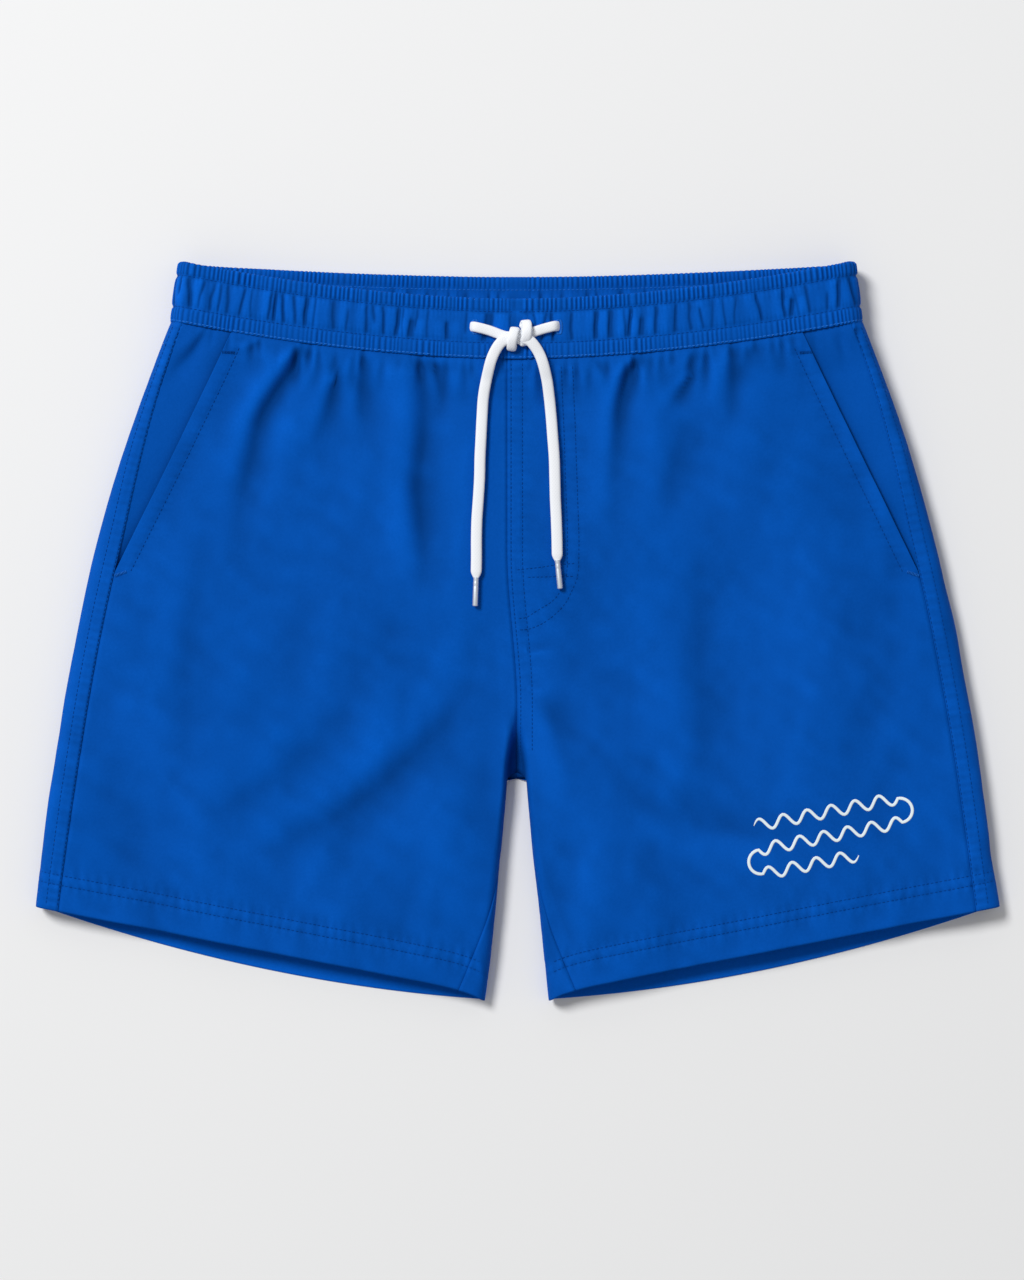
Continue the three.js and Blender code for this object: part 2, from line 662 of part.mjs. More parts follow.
for (const [side, hand] of [["left", 1], ["right", -1]]) {
  const curve = tailCurve(TAIL_LENGTH[side]);
  const whole = curve.getLength();
  const tail = strap(curve, 52, (u) => tailSize(u, whole));
  add(`drawcord_tail_${side}`, hand > 0 ? tail : mirrored(tail), cordCotton);
  const way = curve.getTangentAt(1).multiply(new THREE.Vector3(hand, 1, 1));
  const tip = add(`drawcord_tip_${side}`, tipShape(), tipMetal);
  tip.quaternion.setFromUnitVectors(new THREE.Vector3(0, 1, 0), way.clone().negate());
  tip.position.copy(curve.getPointAt(1).multiply(new THREE.Vector3(hand, 1, 1)));
  tip.position.addScaledVector(way, TIP_LENGTH - TIP_GRIP);
}

// ---- Print ------------------------------------------------------------------------

// Waves across, a round turn, waves back beneath, and again: one unbroken line.
function waveLine() {
  const points = [];
  let x = 0;
  WAVES.forEach((count, line) => {
    const way = line % 2 ? -1 : 1;
    const base = -line * LINE_SPACE;
    const from = x;
    for (let i = 0; i <= count * 6; i++) {
      const bend = Math.sin((i / 6) * 2 * Math.PI) * WAVE_HEIGHT;
      points.push(new THREE.Vector2(from + (way * WAVE_PITCH * i) / 6, base + bend));
    }
    x = from + way * WAVE_PITCH * count;
    if (line < WAVES.length - 1) {
      for (let i = 1; i < 8; i++) {
        const a = (i / 8) * Math.PI;
        const r = LINE_SPACE / 2;
        points.push(new THREE.Vector2(x + way * r * Math.sin(a), base - r + r * Math.cos(a)));
      }
    }
  });
  return points;
}

function legPrint() {
  const line = waveLine();
  const side = (sign) =>
    line.map((p, i) => {
      const way = line[Math.min(i + 1, line.length - 1)].clone().sub(line[Math.max(i - 1, 0)]).normalize();
      return new THREE.Vector2(p.x - (sign * way.y * PRINT_STROKE) / 2, p.y + (sign * way.x * PRINT_STROKE) / 2);
    });
  const shape = new THREE.Shape([...side(-1), ...side(1).reverse()]);
  const film = new THREE.ExtrudeGeometry(shape, { depth: PRINT_FILM, bevelEnabled: false });
  film.center().translate(0, 0, PRINT_FILM / 2).rotateZ(PRINT_TURN);
  film.translate(PRINT_X, place(PRINT_X, loft(PRINT_V), PRINT_V).y, 0);
  return drape(film, SEAM_GAP);
}
add("leg_print", legPrint(), printFilm);

export default shorts;
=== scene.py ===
import math

import bmesh
import bpy
import numpy as np
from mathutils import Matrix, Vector
from mathutils.bvhtree import BVHTree


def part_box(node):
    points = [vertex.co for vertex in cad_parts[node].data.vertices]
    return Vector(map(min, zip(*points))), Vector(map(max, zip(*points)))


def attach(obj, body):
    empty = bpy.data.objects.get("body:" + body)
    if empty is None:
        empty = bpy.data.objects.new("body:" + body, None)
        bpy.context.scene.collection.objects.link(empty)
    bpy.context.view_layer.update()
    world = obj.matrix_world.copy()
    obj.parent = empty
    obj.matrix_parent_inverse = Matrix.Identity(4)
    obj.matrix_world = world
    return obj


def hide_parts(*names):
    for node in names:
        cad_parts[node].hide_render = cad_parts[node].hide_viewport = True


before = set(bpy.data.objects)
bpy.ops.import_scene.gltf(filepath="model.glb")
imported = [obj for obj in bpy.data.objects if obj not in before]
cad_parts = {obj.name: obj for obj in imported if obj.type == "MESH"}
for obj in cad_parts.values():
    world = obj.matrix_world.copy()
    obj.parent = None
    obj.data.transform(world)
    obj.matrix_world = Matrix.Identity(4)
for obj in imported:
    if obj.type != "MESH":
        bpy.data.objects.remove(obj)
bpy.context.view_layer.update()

bl_info = {
    "name": "Drawcord Shorts",
    "version": (1, 0, 0),
    "blender": (4, 5, 0),
    "location": "View3D > Sidebar > Shorts",
    "description": "Builds a pair of woven drawcord shorts lying flat",
    "category": "Add Mesh",
}

MM = 0.001
SIDES = (("left", 1), ("right", -1))  # the wearer's, and which way each lies across

# ---- Sizes shared with the CAD frame -------------------------------------------------------

BAND_LOW, BAND_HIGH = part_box("waistband_casing")
PANEL_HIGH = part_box("back_panel_left")[1]

BAND_HEIGHT = 37 * MM
HEM_SLANT = 58.5 * MM
FRONT_DIP = 23.5 * MM
BACK_DIP = 8 * MM
FRONT_HEM_LIFT = 4.5 * MM
BACK_HEM_DROP = 10 * MM
WAIST_Y = BAND_HIGH.y - BAND_HEIGHT
HEM_INNER_Y = -BAND_HIGH.y
CENTRE_RUN = WAIST_Y - FRONT_DIP - HEM_INNER_Y
FORK_V = 212 * MM / CENTRE_RUN
CROTCH_V = 259 * MM / CENTRE_RUN
WAIST_CURVE = 1.8
HIP_FULLNESS = 0.42

WAIST_HALF = BAND_HIGH.x
BAND_TOP_HALF = WAIST_HALF - 5 * MM
HEM_HALF = PANEL_HIGH.x
FORK_GAP = 5.8 * MM
HEM_GAP = 19.6 * MM
FLY_SHIFT = -6 * MM

BAND_LOFT = BAND_HIGH.z - BAND_LOW.z
WAIST_LOFT = PANEL_HIGH.z
HEM_LOFT = 14 * MM
SIDE_ROLL = 8 * MM
BAND_ROLL = 10 * MM
CROTCH_ROLL = 4 * MM
LEG_ROLL = 6 * MM

SIDE_STRIP_TOP = 8.5 * MM
SIDE_STRIP_HEM = 15 * MM
INSEAM_START = 4 * MM
INSEAM_RUN = 27 * MM
NEAR_CENTRE = 9 * MM

POCKET_TOP_X = 175 * MM
POCKET_MOUTH_V = 0.423
POCKET_BAG_V = 0.62
POCKET_BAG_WIDTH = 92 * MM

BAND_WALL = 5.1 * MM
TOP_ZONE = 8.3 * MM  # gathered strip above the upper row of stitching
FOOT_ZONE = 9.5 * MM  # and below the lower one
FLY_ROWS = (2.4 * MM, 9.4 * MM)  # topstitching beside the front seam
FLY_WIDTH = 38 * MM
FLY_LENGTH = 166 * MM
FLY_CURVE = 52 * MM  # how far up the curve at its foot begins
POCKET_HEM = 8 * MM
HEM_ROWS = (16.3 * MM, 22.3 * MM)
SIDE_ROWS = (0.8 * MM, 7.7 * MM)

# ---- Small mathematics ---------------------------------------------------------------------


def lerp(a, b, t):
    return a + (b - a) * t


def smooth(t, low=0.0, high=1.0):
    t = np.clip((np.asarray(t, float) - low) / (high - low), 0, 1)
    return t * t * (3 - 2 * t)


def spread(marks, counts):
    """Numbers from each mark to the next, in as many even steps as counts gives."""
    out = [marks[0]]
    for a, b, n in zip(marks, marks[1:], counts):
        out.extend(lerp(a, b, (i + 1) / n) for i in range(n))
    return np.array(out)


def wander(x, scale, seed):
    """A smooth random line, about -1 to 1, that changes over the length scale."""
    x = np.asarray(x, float) / scale
    cell = np.floor(x).astype(int)
    value = np.random.default_rng(seed).uniform(-1, 1, 4096)
    a, b = value[cell % 4096], value[(cell + 1) % 4096]
    return lerp(a, b, smooth(x - cell))


def cloud(x, y, scale_x, scale_y, seed):
    """The same over a plane."""
    x, y = np.broadcast_arrays(np.asarray(x, float) / scale_x, np.asarray(y, float) / scale_y)
    cx, cy = np.floor(x).astype(int), np.floor(y).astype(int)
    value = np.random.default_rng(seed).uniform(-1, 1, (256, 256))
    at = lambda i, j: value[(cx + i) % 256, (cy + j) % 256]
    tx, ty = smooth(x - cx), smooth(y - cy)
    return lerp(lerp(at(0, 0), at(1, 0), tx), lerp(at(0, 1), at(1, 1), tx), ty)


# ---- The flattened tube of the shorts --------------------------------------------------------


def loft(v):
    """How thick the flattened tube is at level v: 0 at the waist seam, 1 at the hem."""
    return lerp(WAIST_LOFT, HEM_LOFT, v)


def outer_half(v):
    early = 1 - (1 - v) ** 3
    return lerp(WAIST_HALF, HEM_HALF, lerp(v, early, HIP_FULLNESS))


def inner_gap(v):
    """From the centre line to the leg's inner edge."""
    if v <= FORK_V:
        return 0.0
    if v <= CROTCH_V:
        return FORK_GAP * ((v - FORK_V) / (CROTCH_V - FORK_V)) ** 0.7
    return lerp(FORK_GAP, HEM_GAP, ((v - CROTCH_V) / (1 - CROTCH_V)) ** 1.15)


def side_strip(v):
    """How far the back wraps on to the front."""
    return lerp(SIDE_STRIP_TOP, SIDE_STRIP_HEM, smooth(v, 0, 0.4))


def outer_side_row(v):
    """The outer row of stitching beside the side seam, from the seam."""
    return np.minimum(SIDE_ROWS[1], side_strip(v) * 0.62)


def side_seam_x(v):
    return outer_half(v) - float(side_strip(v))


def fly_seam_x(v):
    return FLY_SHIFT * (1 - float(smooth(v, 0.3, FORK_V)))


def waist_sag(q, dip):
    """How far up the page the waist seam lies, at a share q of the way out to the side."""
    return WAIST_Y - dip * (1 - q**WAIST_CURVE)


def pocket_mouth_x(v):
    return lerp(POCKET_TOP_X, side_seam_x(POCKET_MOUTH_V), v / POCKET_MOUTH_V)


def front_hem_lift(q):
    """How far the front hem lies above a straight hem, at a share of the way out."""
    return FRONT_HEM_LIFT * (1 - np.exp(-q / 0.04)) * (1 - q)


def page_y(x, face_z, v):
    """How far up the shorts a point of the section at level v lies."""
    gap = inner_gap(v)
    q = np.clip((np.abs(x) - gap) / (outer_half(v) - gap), 0, 1)
    hem = HEM_INNER_Y + HEM_SLANT * q
    drop = BACK_HEM_DROP * 4 * q * (1 - q)
    front = lerp(waist_sag(q, FRONT_DIP), hem + front_hem_lift(q), v)
    back = lerp(waist_sag(q, BACK_DIP), hem - drop, v)
    return lerp(back, front, np.clip(face_z / loft(v), 0, 1))


class Section:
    """One half of the tube cut at level v: from its inner edge over the top and round the side."""

    def __init__(self, v, centre):
        high, out, gap = loft(v), outer_half(v), inner_gap(v)
        xs, zs = [], []

        def arc(cx, rx, start, end, steps):
            a = np.linspace(start, end, steps)
            xs.extend(cx + rx * np.cos(a))
            zs.extend(high / 2 + high / 2 * np.sin(a))

        def line(x, z, steps=40):
            xs.extend(np.linspace(xs[-1], x, steps)[1:])
            zs.extend(np.linspace(zs[-1], z, steps)[1:])

        if v > CROTCH_V:
            roll = lerp(CROTCH_ROLL, LEG_ROLL, float(smooth(v, CROTCH_V, 0.85)))
            arc(gap + roll, roll, -math.pi / 2, -1.5 * math.pi, 60)
            bend, foot, self.turn = len(xs) - 1, gap + roll, 0.0
        else:
            dive = (high - 2 * MM) * float(smooth(v, FORK_V, CROTCH_V))
            if v > FORK_V:
                t = np.linspace(0, 1, 40)
                ends = [(0, high - dive), (gap, high - dive), (gap, high), (gap + CROTCH_ROLL, high)]
                weights = [(1 - t) ** 3, 3 * t * (1 - t) ** 2, 3 * t * t * (1 - t), t**3]
                xs.extend(sum(w * p[0] for w, p in zip(weights, ends)))
                zs.extend(sum(w * p[1] for w, p in zip(weights, ends)))
                bend = len(xs) - 1
            else:
                xs.append(centre)
                zs.append(high)
                line(centre + NEAR_CENTRE, high, 10)
                bend = len(xs) - 1
            foot, self.turn = 0.0, NEAR_CENTRE
        line(out - SIDE_ROLL, high)
        roll_start = len(xs) - 1
        arc(out - SIDE_ROLL, SIDE_ROLL, math.pi / 2, -math.pi / 2, 60)
        roll_end = len(xs) - 1
        line(foot, 0.0)
        self.foot = foot
        self.x, self.z = np.array(xs), np.array(zs)
        self.s = np.concatenate([[0], np.cumsum(np.hypot(np.diff(self.x), np.diff(self.z)))])
        self.bend, self.roll_start, self.roll_end = self.s[bend], self.s[roll_start], self.s[roll_end]
        self.whole = self.s[-1]
        self.top_start = self.roll_start - (out - SIDE_ROLL)

    def at(self, s):
        """x, z and the outward normal at lengths s, which run on past the end to the start."""
        s = np.where(s > self.whole, s - self.whole, s)
        x, z = np.interp(s, self.s, self.x), np.interp(s, self.s, self.z)
        e = 0.4 * MM
        a, b = np.clip(s - e, 0, self.whole), np.clip(s + e, 0, self.whole)
        tx = np.interp(b, self.s, self.x) - np.interp(a, self.s, self.x)
        tz = np.interp(b, self.s, self.z) - np.interp(a, self.s, self.z)
        n = np.maximum(np.hypot(tx, tz), 1e-9)
        return x, z, -tz / n, tx / n


def inseam(v):
    """How far round the leg's inner edge the seam lies."""
    if v <= CROTCH_V:
        return 0.0
    return INSEAM_START + INSEAM_RUN * ((v - CROTCH_V) / (1 - CROTCH_V)) ** 1.3


def levels(low, high, step, fine_low=0.0, fine_high=0.0):
    """Levels down a panel, closer together near its ends."""
    end = high * CENTRE_RUN
    rows = list(np.arange(low * CENTRE_RUN, fine_low, step / 2))
    rows += list(np.arange(max(low * CENTRE_RUN, fine_low), end - fine_high, step))
    rows += list(np.arange(end - fine_high, end - step / 4, step / 2)) if fine_high else []
    rows = np.unique(np.array(rows + [end])) / CENTRE_RUN
    for stop in (FORK_V, CROTCH_V, CROTCH_V + 0.006):
        if rows[0] < stop < rows[-1]:
            rows[np.argmin(np.abs(rows - stop))] = stop
    return rows


# ---- Folds in the front ----------------------------------------------------------------------

# Each crease: its points down the front, half its width and its depth, in millimetres. The steep
# side of each faces the right.
CREASES = (
    (((-133, 176), (-140, 162), (-149, 149), (-160, 130), (-165, 108), (-171, 84), (-176, 44), (-180, 10)),
     6.5, 2.6),
    (((-96, 175), (-96, 160), (-97, 140), (-94, 116), (-92, 98)), 4.6, 1.5),
    (((-65, 169), (-60, 153), (-60, 128), (-64, 84), (-60, 40), (-68, 6)), 8, 3.0),
    (((-113, 150), (-121, 126), (-133, 104), (-142, 84)), 6.4, 1.2),
    (((-50, 160), (-47, 140), (-50, 122)), 3.6, 0.9),
    (((74, 172), (66, 156), (62, 141), (60, 122), (58, 86), (56, 36)), 6, 2.3),
    (((47, 166), (56, 153), (60, 142)), 3.6, 0.9),
    (((131, 178), (131, 160), (130, 138), (128, 112)), 5, 1.8),
    (((108, 173), (105, 158), (100, 140)), 3.6, 1.1),
    (((146, 180), (141, 164), (138, 150)), 4, 0.9),
    (((-190, 120), (-197, 60), (-206, 0), (-211, -60), (-216, -110)), 13, 1.3),
    (((102, 110), (106, 40), (108, -20), (110, -80), (114, -150)), 15, 1.7),
    (((178, 60), (190, 0), (198, -60), (204, -120)), 15, 0.9),
    (((-8, 8), (-27, -24), (-50, -56), (-96, -98), (-140, -126), (-186, -146)), 11, 2.0),
    (((-100, -30), (-128, -66), (-170, -100), (-224, -120)), 10, 0.8),
    (((13, -34), (19, -52), (26, -72), (31, -96)), 6.8, 1.1),
    (((7, -11.5), (17, -10.5), (28, -8)), 1.9, 0.55),
    (((9, -33.5), (14, -34), (20, -33)), 2.1, 0.4),
    (((50, -92), (94, -116), (146, -128), (196, -120)), 9, 0.9),
    (((-191, 186), (-200, 173), (-210, 162), (-222, 142)), 3.2, 1.5),
    (((-156, 180), (-165, 174), (-174, 168)), 2.6, 1.1),
    (((190, 187), (197, 176), (205, 158)), 2.8, 1.0),
    (((105, 155), (96, 142), (88, 128)), 3.2, 0.9),
    (((112, 144), (100, 122), (92, 96), (88, 56)), 9, 1.1),
)


def run_of(line):
    """The length along a line up to each of its points."""
    return np.concatenate([[0], np.cumsum(np.linalg.norm(np.diff(line, axis=0), axis=1))])


def curve_through(points, steps):
    """A smooth line through the points, evenly stepped."""
    p = np.array(points, float)
    p = np.vstack([2 * p[0] - p[1], p, 2 * p[-1] - p[-2]])
    out = []
    for a, b, c, d in zip(p, p[1:], p[2:], p[3:]):
        for t in np.linspace(0, 1, 24, endpoint=False):
            bend, twist = 2 * a - 5 * b + 4 * c - d, 3 * b - a - 3 * c + d
            out.append(0.5 * (2 * b + (c - a) * t + bend * t**2 + twist * t**3))
    out = np.array(out + [p[-2]])
    run = run_of(out)
    at = np.linspace(0, run[-1], steps)
    return np.stack([np.interp(at, run, out[:, k]) for k in range(out.shape[1])], 1)


def off_line(x, y, line):
    """Distance from each place to a line, above 0 on its left, and how far along the nearest point is."""
    place = np.stack([np.ravel(x), np.ravel(y)], 1)
    best = np.full(len(place), 1e9)
    share, side = np.zeros(len(place)), np.ones(len(place))
    for k, (a, b) in enumerate(zip(line, line[1:])):
        way = b - a
        t = np.clip(((place - a) @ way) / max(way @ way, 1e-12), 0, 1)
        away = np.linalg.norm(place - a - t[:, None] * way, axis=1)
        nearer = away < best
        best[nearer] = away[nearer]
        share[nearer] = (k + t[nearer]) / (len(line) - 1)
        turn = way[0] * (place[:, 1] - a[1]) - way[1] * (place[:, 0] - a[0])
        side[nearer] = np.where(turn[nearer] < 0, -1, 1)
    return (best * side).reshape(np.shape(x)), share.reshape(np.shape(x))


def j_row(inset):
    """The curved row of stitching that outlines the fly, inset from its outer row."""
    far = FLY_WIDTH / MM - inset
    points = [(far - 4, 164), (far - 2.4, 130), (far - 1, 90), (far, 62), (far, 44), (far - 0.8, 34)]
    points += [(far - 4.4, 25), (far - 9.4, 16 + inset * 0.4), (far - 19.4, 7 + inset * 0.8)]
    points += [(8 - inset * 0.3, 1.9 + inset), (-1.2, 1.2 + inset)]
    return curve_through(np.array(points) * MM, 90)


FLY_OUTLINE = [j_row(0), j_row(7)]
FLY_BARS = [
    curve_through(np.array([(-1.2, 38), (12, 39.4), (23, 41), (37, 42.3)]) * MM, 20),
    curve_through(np.array([(5.4, 33.5), (20, 33.9), (37, 34.2)]) * MM, 20),
]

FOLD_DEPTH = 1.5
CREASE_LINES = [(curve_through(np.array(points) * MM, 26), wide, deep) for points, wide, deep in CREASES]
BROAD = 6.6  # creases wider than this keep their width all along
PLEAT_REACH = 206.0


def pleats():
    """Small gathers down from the waist seam: place, depth, length and lean."""
    draw = np.random.default_rng(23)
    out, x = [], -PLEAT_REACH
    while x < PLEAT_REACH:
        x += draw.uniform(4, 13)
        deep, long = draw.uniform(0.6, 2.2), draw.uniform(8, 40)
        out.append((x * MM, deep * MM, long * MM, x / PLEAT_REACH * 0.12 + draw.uniform(-0.1, 0.1)))
    return out


PLEATS = pleats()

# The cloth's uneven lie: rise, slant, width and length in millimetres, seed, and the share of
# the rise that is kept up beside the band.
SWELLS = (
    (1.9, 0.3, 46, 130, 5, 0.5),
    (0.7, -0.2, 19, 46, 6, 1),
    (0.16, 0, 7, 9, 7, 1),
    (0.22, 1, 13, 17, 8, 1),
)
CALM = ((28, 0.5), (14, -0.9))  # reach from the centre, highest and lowest there, in millimetres


def waist_front_y(x):
    return waist_sag(np.clip(np.abs(x) / WAIST_HALF, 0, 1), FRONT_DIP)


def creases(x, y):
    """How far the drawn creases pull the front down or push it up."""
    out = np.zeros(np.shape(x))
    for line, wide, deep in CREASE_LINES:
        away, share = off_line(x, y, line)
        broad = wide > BROAD
        away = away / (wide * MM * (1 if broad else 0.5 + 1.1 * share))
        if broad and line[0, 1] < 150 * MM:
            fade = (1 - (2 * share - 1) ** 2) ** 2
        else:
            fade = (1 - smooth(share, 0.1 + 0.4 * broad, 1.0)) * smooth(share, -0.6, 0.1)
        slow = np.where(away > 0.6, 2.1, 0.95)
        valley = np.exp(-(((away - 0.6) / slow) ** 2)) - 0.5 * np.exp(-(((away + 1.5) / 1.5) ** 2))
        out = out - FOLD_DEPTH * deep * MM * fade * valley
    return out


def relief(x, y):
    """How far the front stands off its smooth shape, in metres."""
    out = creases(x, y)
    down = waist_front_y(x) - y
    for at, deep, long, lean in PLEATS:
        away = (x - at - lean * down) / (1.3 * MM + 0.07 * np.maximum(down, 0))
        fade = 1 - smooth(down / long)
        out = out - deep * fade * (np.exp(-(away**2)) - 0.35 * np.exp(-(((np.abs(away) - 2) / 1.1) ** 2)))
    low = smooth(down, 15 * MM, 80 * MM)
    for rise, slant, wide, long, seed, kept in SWELLS:
        swell = cloud(x + slant * y, y, wide * MM, long * MM, seed)
        out = out + rise * MM * swell * lerp(kept, 1, low)
    above_fork = smooth(y, -20 * MM, 30 * MM)
    for (reach, limit), nearest in zip(CALM, (np.minimum, np.maximum)):
        calm = np.exp(-((np.maximum(np.abs(x) - 20 * MM, 0) / (reach * MM)) ** 2))
        out = lerp(out, nearest(out, limit * MM), calm * above_fork)
    held = smooth(down, 0, 15 * MM)
    out = np.where(out > 0, out * held, out * lerp(0.25, 1, smooth(down, 0, 9 * MM)))
    edge = np.exp(-(np.maximum(down, 0) / (1.6 * MM)) ** 2)
    return out - 0.35 * MM * edge


def add_mesh(verts, faces, more_verts, more_faces):
    """Adds one mesh's points and faces to lists of them."""
    faces.extend(tuple(int(i) + len(verts) for i in face) for face in more_faces)
    verts.extend(more_verts)


def waist_rise(y, x):
    """The front climbs to the band's foot."""
    down = waist_front_y(x) - y
    return (BAND_LOFT - WAIST_LOFT - 0.45 * MM) * (1 - smooth(down, 0, 30 * MM))


def row_dimple(away, deep=0.28, wide=0.9):
    """The groove along a row of stitching; depth and width in millimetres."""
    return -deep * MM * np.exp(-((away / (wide * MM)) ** 2))


def ripple(along, away, seed):
    """The faint puckers that a row of stitching draws up."""
    wave = np.sin(2 * math.pi * along / (6.5 * MM) + 2.5 * wander(along, 20 * MM, seed))
    return 0.24 * MM * wave * np.exp(-((away / (4.5 * MM)) ** 2))


def front_height(x, y):
    """The front's height at a place down it."""
    low, high = 0.0, 1.0
    for _ in range(30):
        v = (low + high) / 2
        if page_y(x, loft(v), v) > y:
            low = v
        else:
            high = v
    return loft(low) + float(waist_rise(y, x)) + float(relief(np.array([x]), np.array([y]))[0])


# ---- Meshes ----------------------------------------------------------------------------------

CLOTH = {}


def grid_faces(rows, cols, ring=False, flip=False):
    """Four-sided faces over a grid of points; ring joins its last row to the first."""
    i = np.arange(rows if ring else rows - 1)[:, None]
    j = np.arange(cols - 1)[None, :]
    a, b = i * cols + j, ((i + 1) % rows) * cols + j
    quads = np.stack([a, b, b + 1, a + 1], -1).reshape(-1, 4)
    return quads[:, ::-1] if flip else quads


def grid_normals(points, ring=False):
    """The way each point of a grid faces, as grid_faces turns its faces."""
    if ring:
        down = np.roll(points, -1, 0) - np.roll(points, 1, 0)
    else:
        down = np.gradient(points, axis=0)
    n = np.cross(down, np.gradient(points, axis=1))
    return n / np.maximum(np.linalg.norm(n, axis=-1, keepdims=True), 1e-12)


def put(name, verts, faces, finish, body="shorts", slot="shell_cloth", replaces=(), uv=None, painted_shading=None):
    """A finished piece from points and faces, riding on its body."""
    mesh = bpy.data.meshes.new(name)
    mesh.from_pydata(np.asarray(verts, float).tolist(), [], [list(map(int, f)) for f in faces])
    if uv is not None:
        layer = mesh.uv_layers.new(name="lie")
        corners = np.zeros(len(mesh.loops), int)
        mesh.loops.foreach_get("vertex_index", corners)
        layer.data.foreach_set("uv", np.asarray(uv, float)[corners].ravel())
    # painted shading: an attribute that darkens the cloth in its creases and lightens it on its ridges
    if painted_shading is not None:
        painted_shades = mesh.attributes.new("painted_shading", "FLOAT", "POINT")
        painted_shades.data.foreach_set("value", np.asarray(painted_shading, float).ravel())
    mesh.polygons.foreach_set("use_smooth", [True] * len(mesh.polygons))
    mesh.materials.append(finish)
    mesh.update()
    obj = bpy.data.objects.new(name, mesh)
    bpy.context.scene.collection.objects.link(obj)
    finish_piece(obj, body, slot, replaces)
    return obj


def finish_piece(obj, body, slot, replaces):
    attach(obj, body)
    if replaces:
        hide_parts(*replaces)


def blurred(values, reach):
    """The mean over a square of cells, twice."""
    for _ in range(2):
        for axis in (0, 1):
            pad = [(reach + 1, reach) if k == axis else (0, 0) for k in (0, 1)]
            run = np.cumsum(np.pad(values, pad, mode="edge"), axis=axis)
            high = np.take(run, np.arange(2 * reach + 1, run.shape[axis]), axis=axis)
            low = np.take(run, np.arange(0, run.shape[axis] - 2 * reach - 1), axis=axis)
            values = (high - low) / (2 * reach + 1)
    return values


def painted_shading_of(stand):
    """Painted shading, from -1 (painted shade) in the creases to 1 (painted highlight) along the ridges."""
    near = (stand - blurred(stand, 3)) / (0.5 * MM)
    far = (stand - blurred(stand, 9)) / (2.4 * MM)
    return np.clip(0.32 * near + 0.5 * far, -1, 1)


def put_sheet(name, points, thick, finish, flip=False, uv=None, painted_shading=None, **rest):
    """A grid of points as a closed sheet of cloth with a thickness, its face where the points are."""
    rows, cols = points.shape[:2]
    normals = grid_normals(points) * (-1 if flip else 1)
    under = points - normals * np.broadcast_to(thick, (rows, cols))[..., None]
    face = grid_faces(rows, cols, flip=flip)
    CLOTH[name] = (points.reshape(-1, 3), face)
    n = rows * cols
    index = np.arange(n).reshape(rows, cols)
    rim = np.concatenate([index[0], index[1:, -1], index[-1, -2::-1], index[-2:0:-1, 0]])
    ahead = np.roll(rim, -1)
    wall = np.stack([rim, ahead, ahead + n, rim + n], 1)
    wall = wall[:, ::-1] if flip else wall
    faces = np.concatenate([face, face[:, ::-1] + n, wall])
    verts = np.concatenate([points.reshape(-1, 3), under.reshape(-1, 3)])
    if uv is not None:
        uv = np.concatenate([uv.reshape(-1, 2)] * 2)
    if painted_shading is not None:
        painted_shading = np.concatenate([painted_shading.ravel()] * 2)
    return put(name, verts, faces, finish, uv=uv, painted_shading=painted_shading, **rest)


def tube(centres, sides, widths, thicks, around=16, square=0.75):
    """Rings of a flat, soft-edged cord along its centres, closed at both ends."""
    centres = np.asarray(centres, float)
    way = np.gradient(centres, axis=0)
    way /= np.linalg.norm(way, axis=1, keepdims=True)
    sides = np.asarray(sides, float) - way * (np.asarray(sides, float) * way).sum(1, keepdims=True)
    sides /= np.linalg.norm(sides, axis=1, keepdims=True)
    tops = np.cross(sides, way)
    a = np.arange(around) / around * 2 * math.pi
    across = np.sign(np.cos(a)) * np.abs(np.cos(a)) ** square
    up = np.sign(np.sin(a)) * np.abs(np.sin(a)) ** square
    ring = (
        centres[:, None]
        + sides[:, None] * (across[None, :] * np.asarray(widths)[:, None] / 2)[..., None]
        + tops[:, None] * (up[None, :] * np.asarray(thicks)[:, None] / 2)[..., None]
    )
    rows = len(centres)
    i = np.arange(rows - 1)[:, None]
    j = np.arange(around)[None, :]
    k = (j + 1) % around
    quads = np.stack([i * around + j, i * around + k, (i + 1) * around + k, (i + 1) * around + j], -1)
    faces = [tuple(q) for q in quads.reshape(-1, 4)]
    verts = list(ring.reshape(-1, 3)) + [centres[0], centres[-1]]
    first, last = rows * around, rows * around + 1
    for s in range(around):
        t = (s + 1) % around
        faces.append((first, t, s))
        faces.append((last, (rows - 1) * around + s, (rows - 1) * around + t))
    run = run_of(centres)
    uv = np.stack(np.meshgrid(a / (2 * math.pi), run), -1)
    uv = np.concatenate([uv.reshape(-1, 2), [[0, run[0]], [0, run[-1]]]])
    return np.array(verts), faces, uv


def turn_outward(obj):
    """Makes every face of a closed piece point outwards."""
    shape = bmesh.new()
    shape.from_mesh(obj.data)
    bmesh.ops.recalc_face_normals(shape, faces=shape.faces)
    shape.to_mesh(obj.data)
    shape.free()
    obj.data.update()


# ---- Materials ---------------------------------------------------------------------------------


def add_node(tree, kind, links=(), **values):
    """A node with its settings; links are (input, value or socket)."""
    node = tree.nodes.new(kind)
    for key, value in values.items():
        setattr(node, key, value)
    for key, value in links:
        if isinstance(value, bpy.types.NodeSocket):
            tree.links.new(value, node.inputs[key])
        else:
            node.inputs[key].default_value = value
    return node


def sum_of(tree, operation, a, b, c=None):
    """One step of arithmetic between values or sockets."""
    values = (a, b) if c is None else (a, b, c)
    return add_node(tree, "ShaderNodeMath", enumerate(values), operation=operation).outputs[0]


def noise(tree, place, scale, detail=2.0):
    links = [("Vector", place), ("Scale", scale), ("Detail", detail)]
    return add_node(tree, "ShaderNodeTexNoise", links).outputs["Fac"]


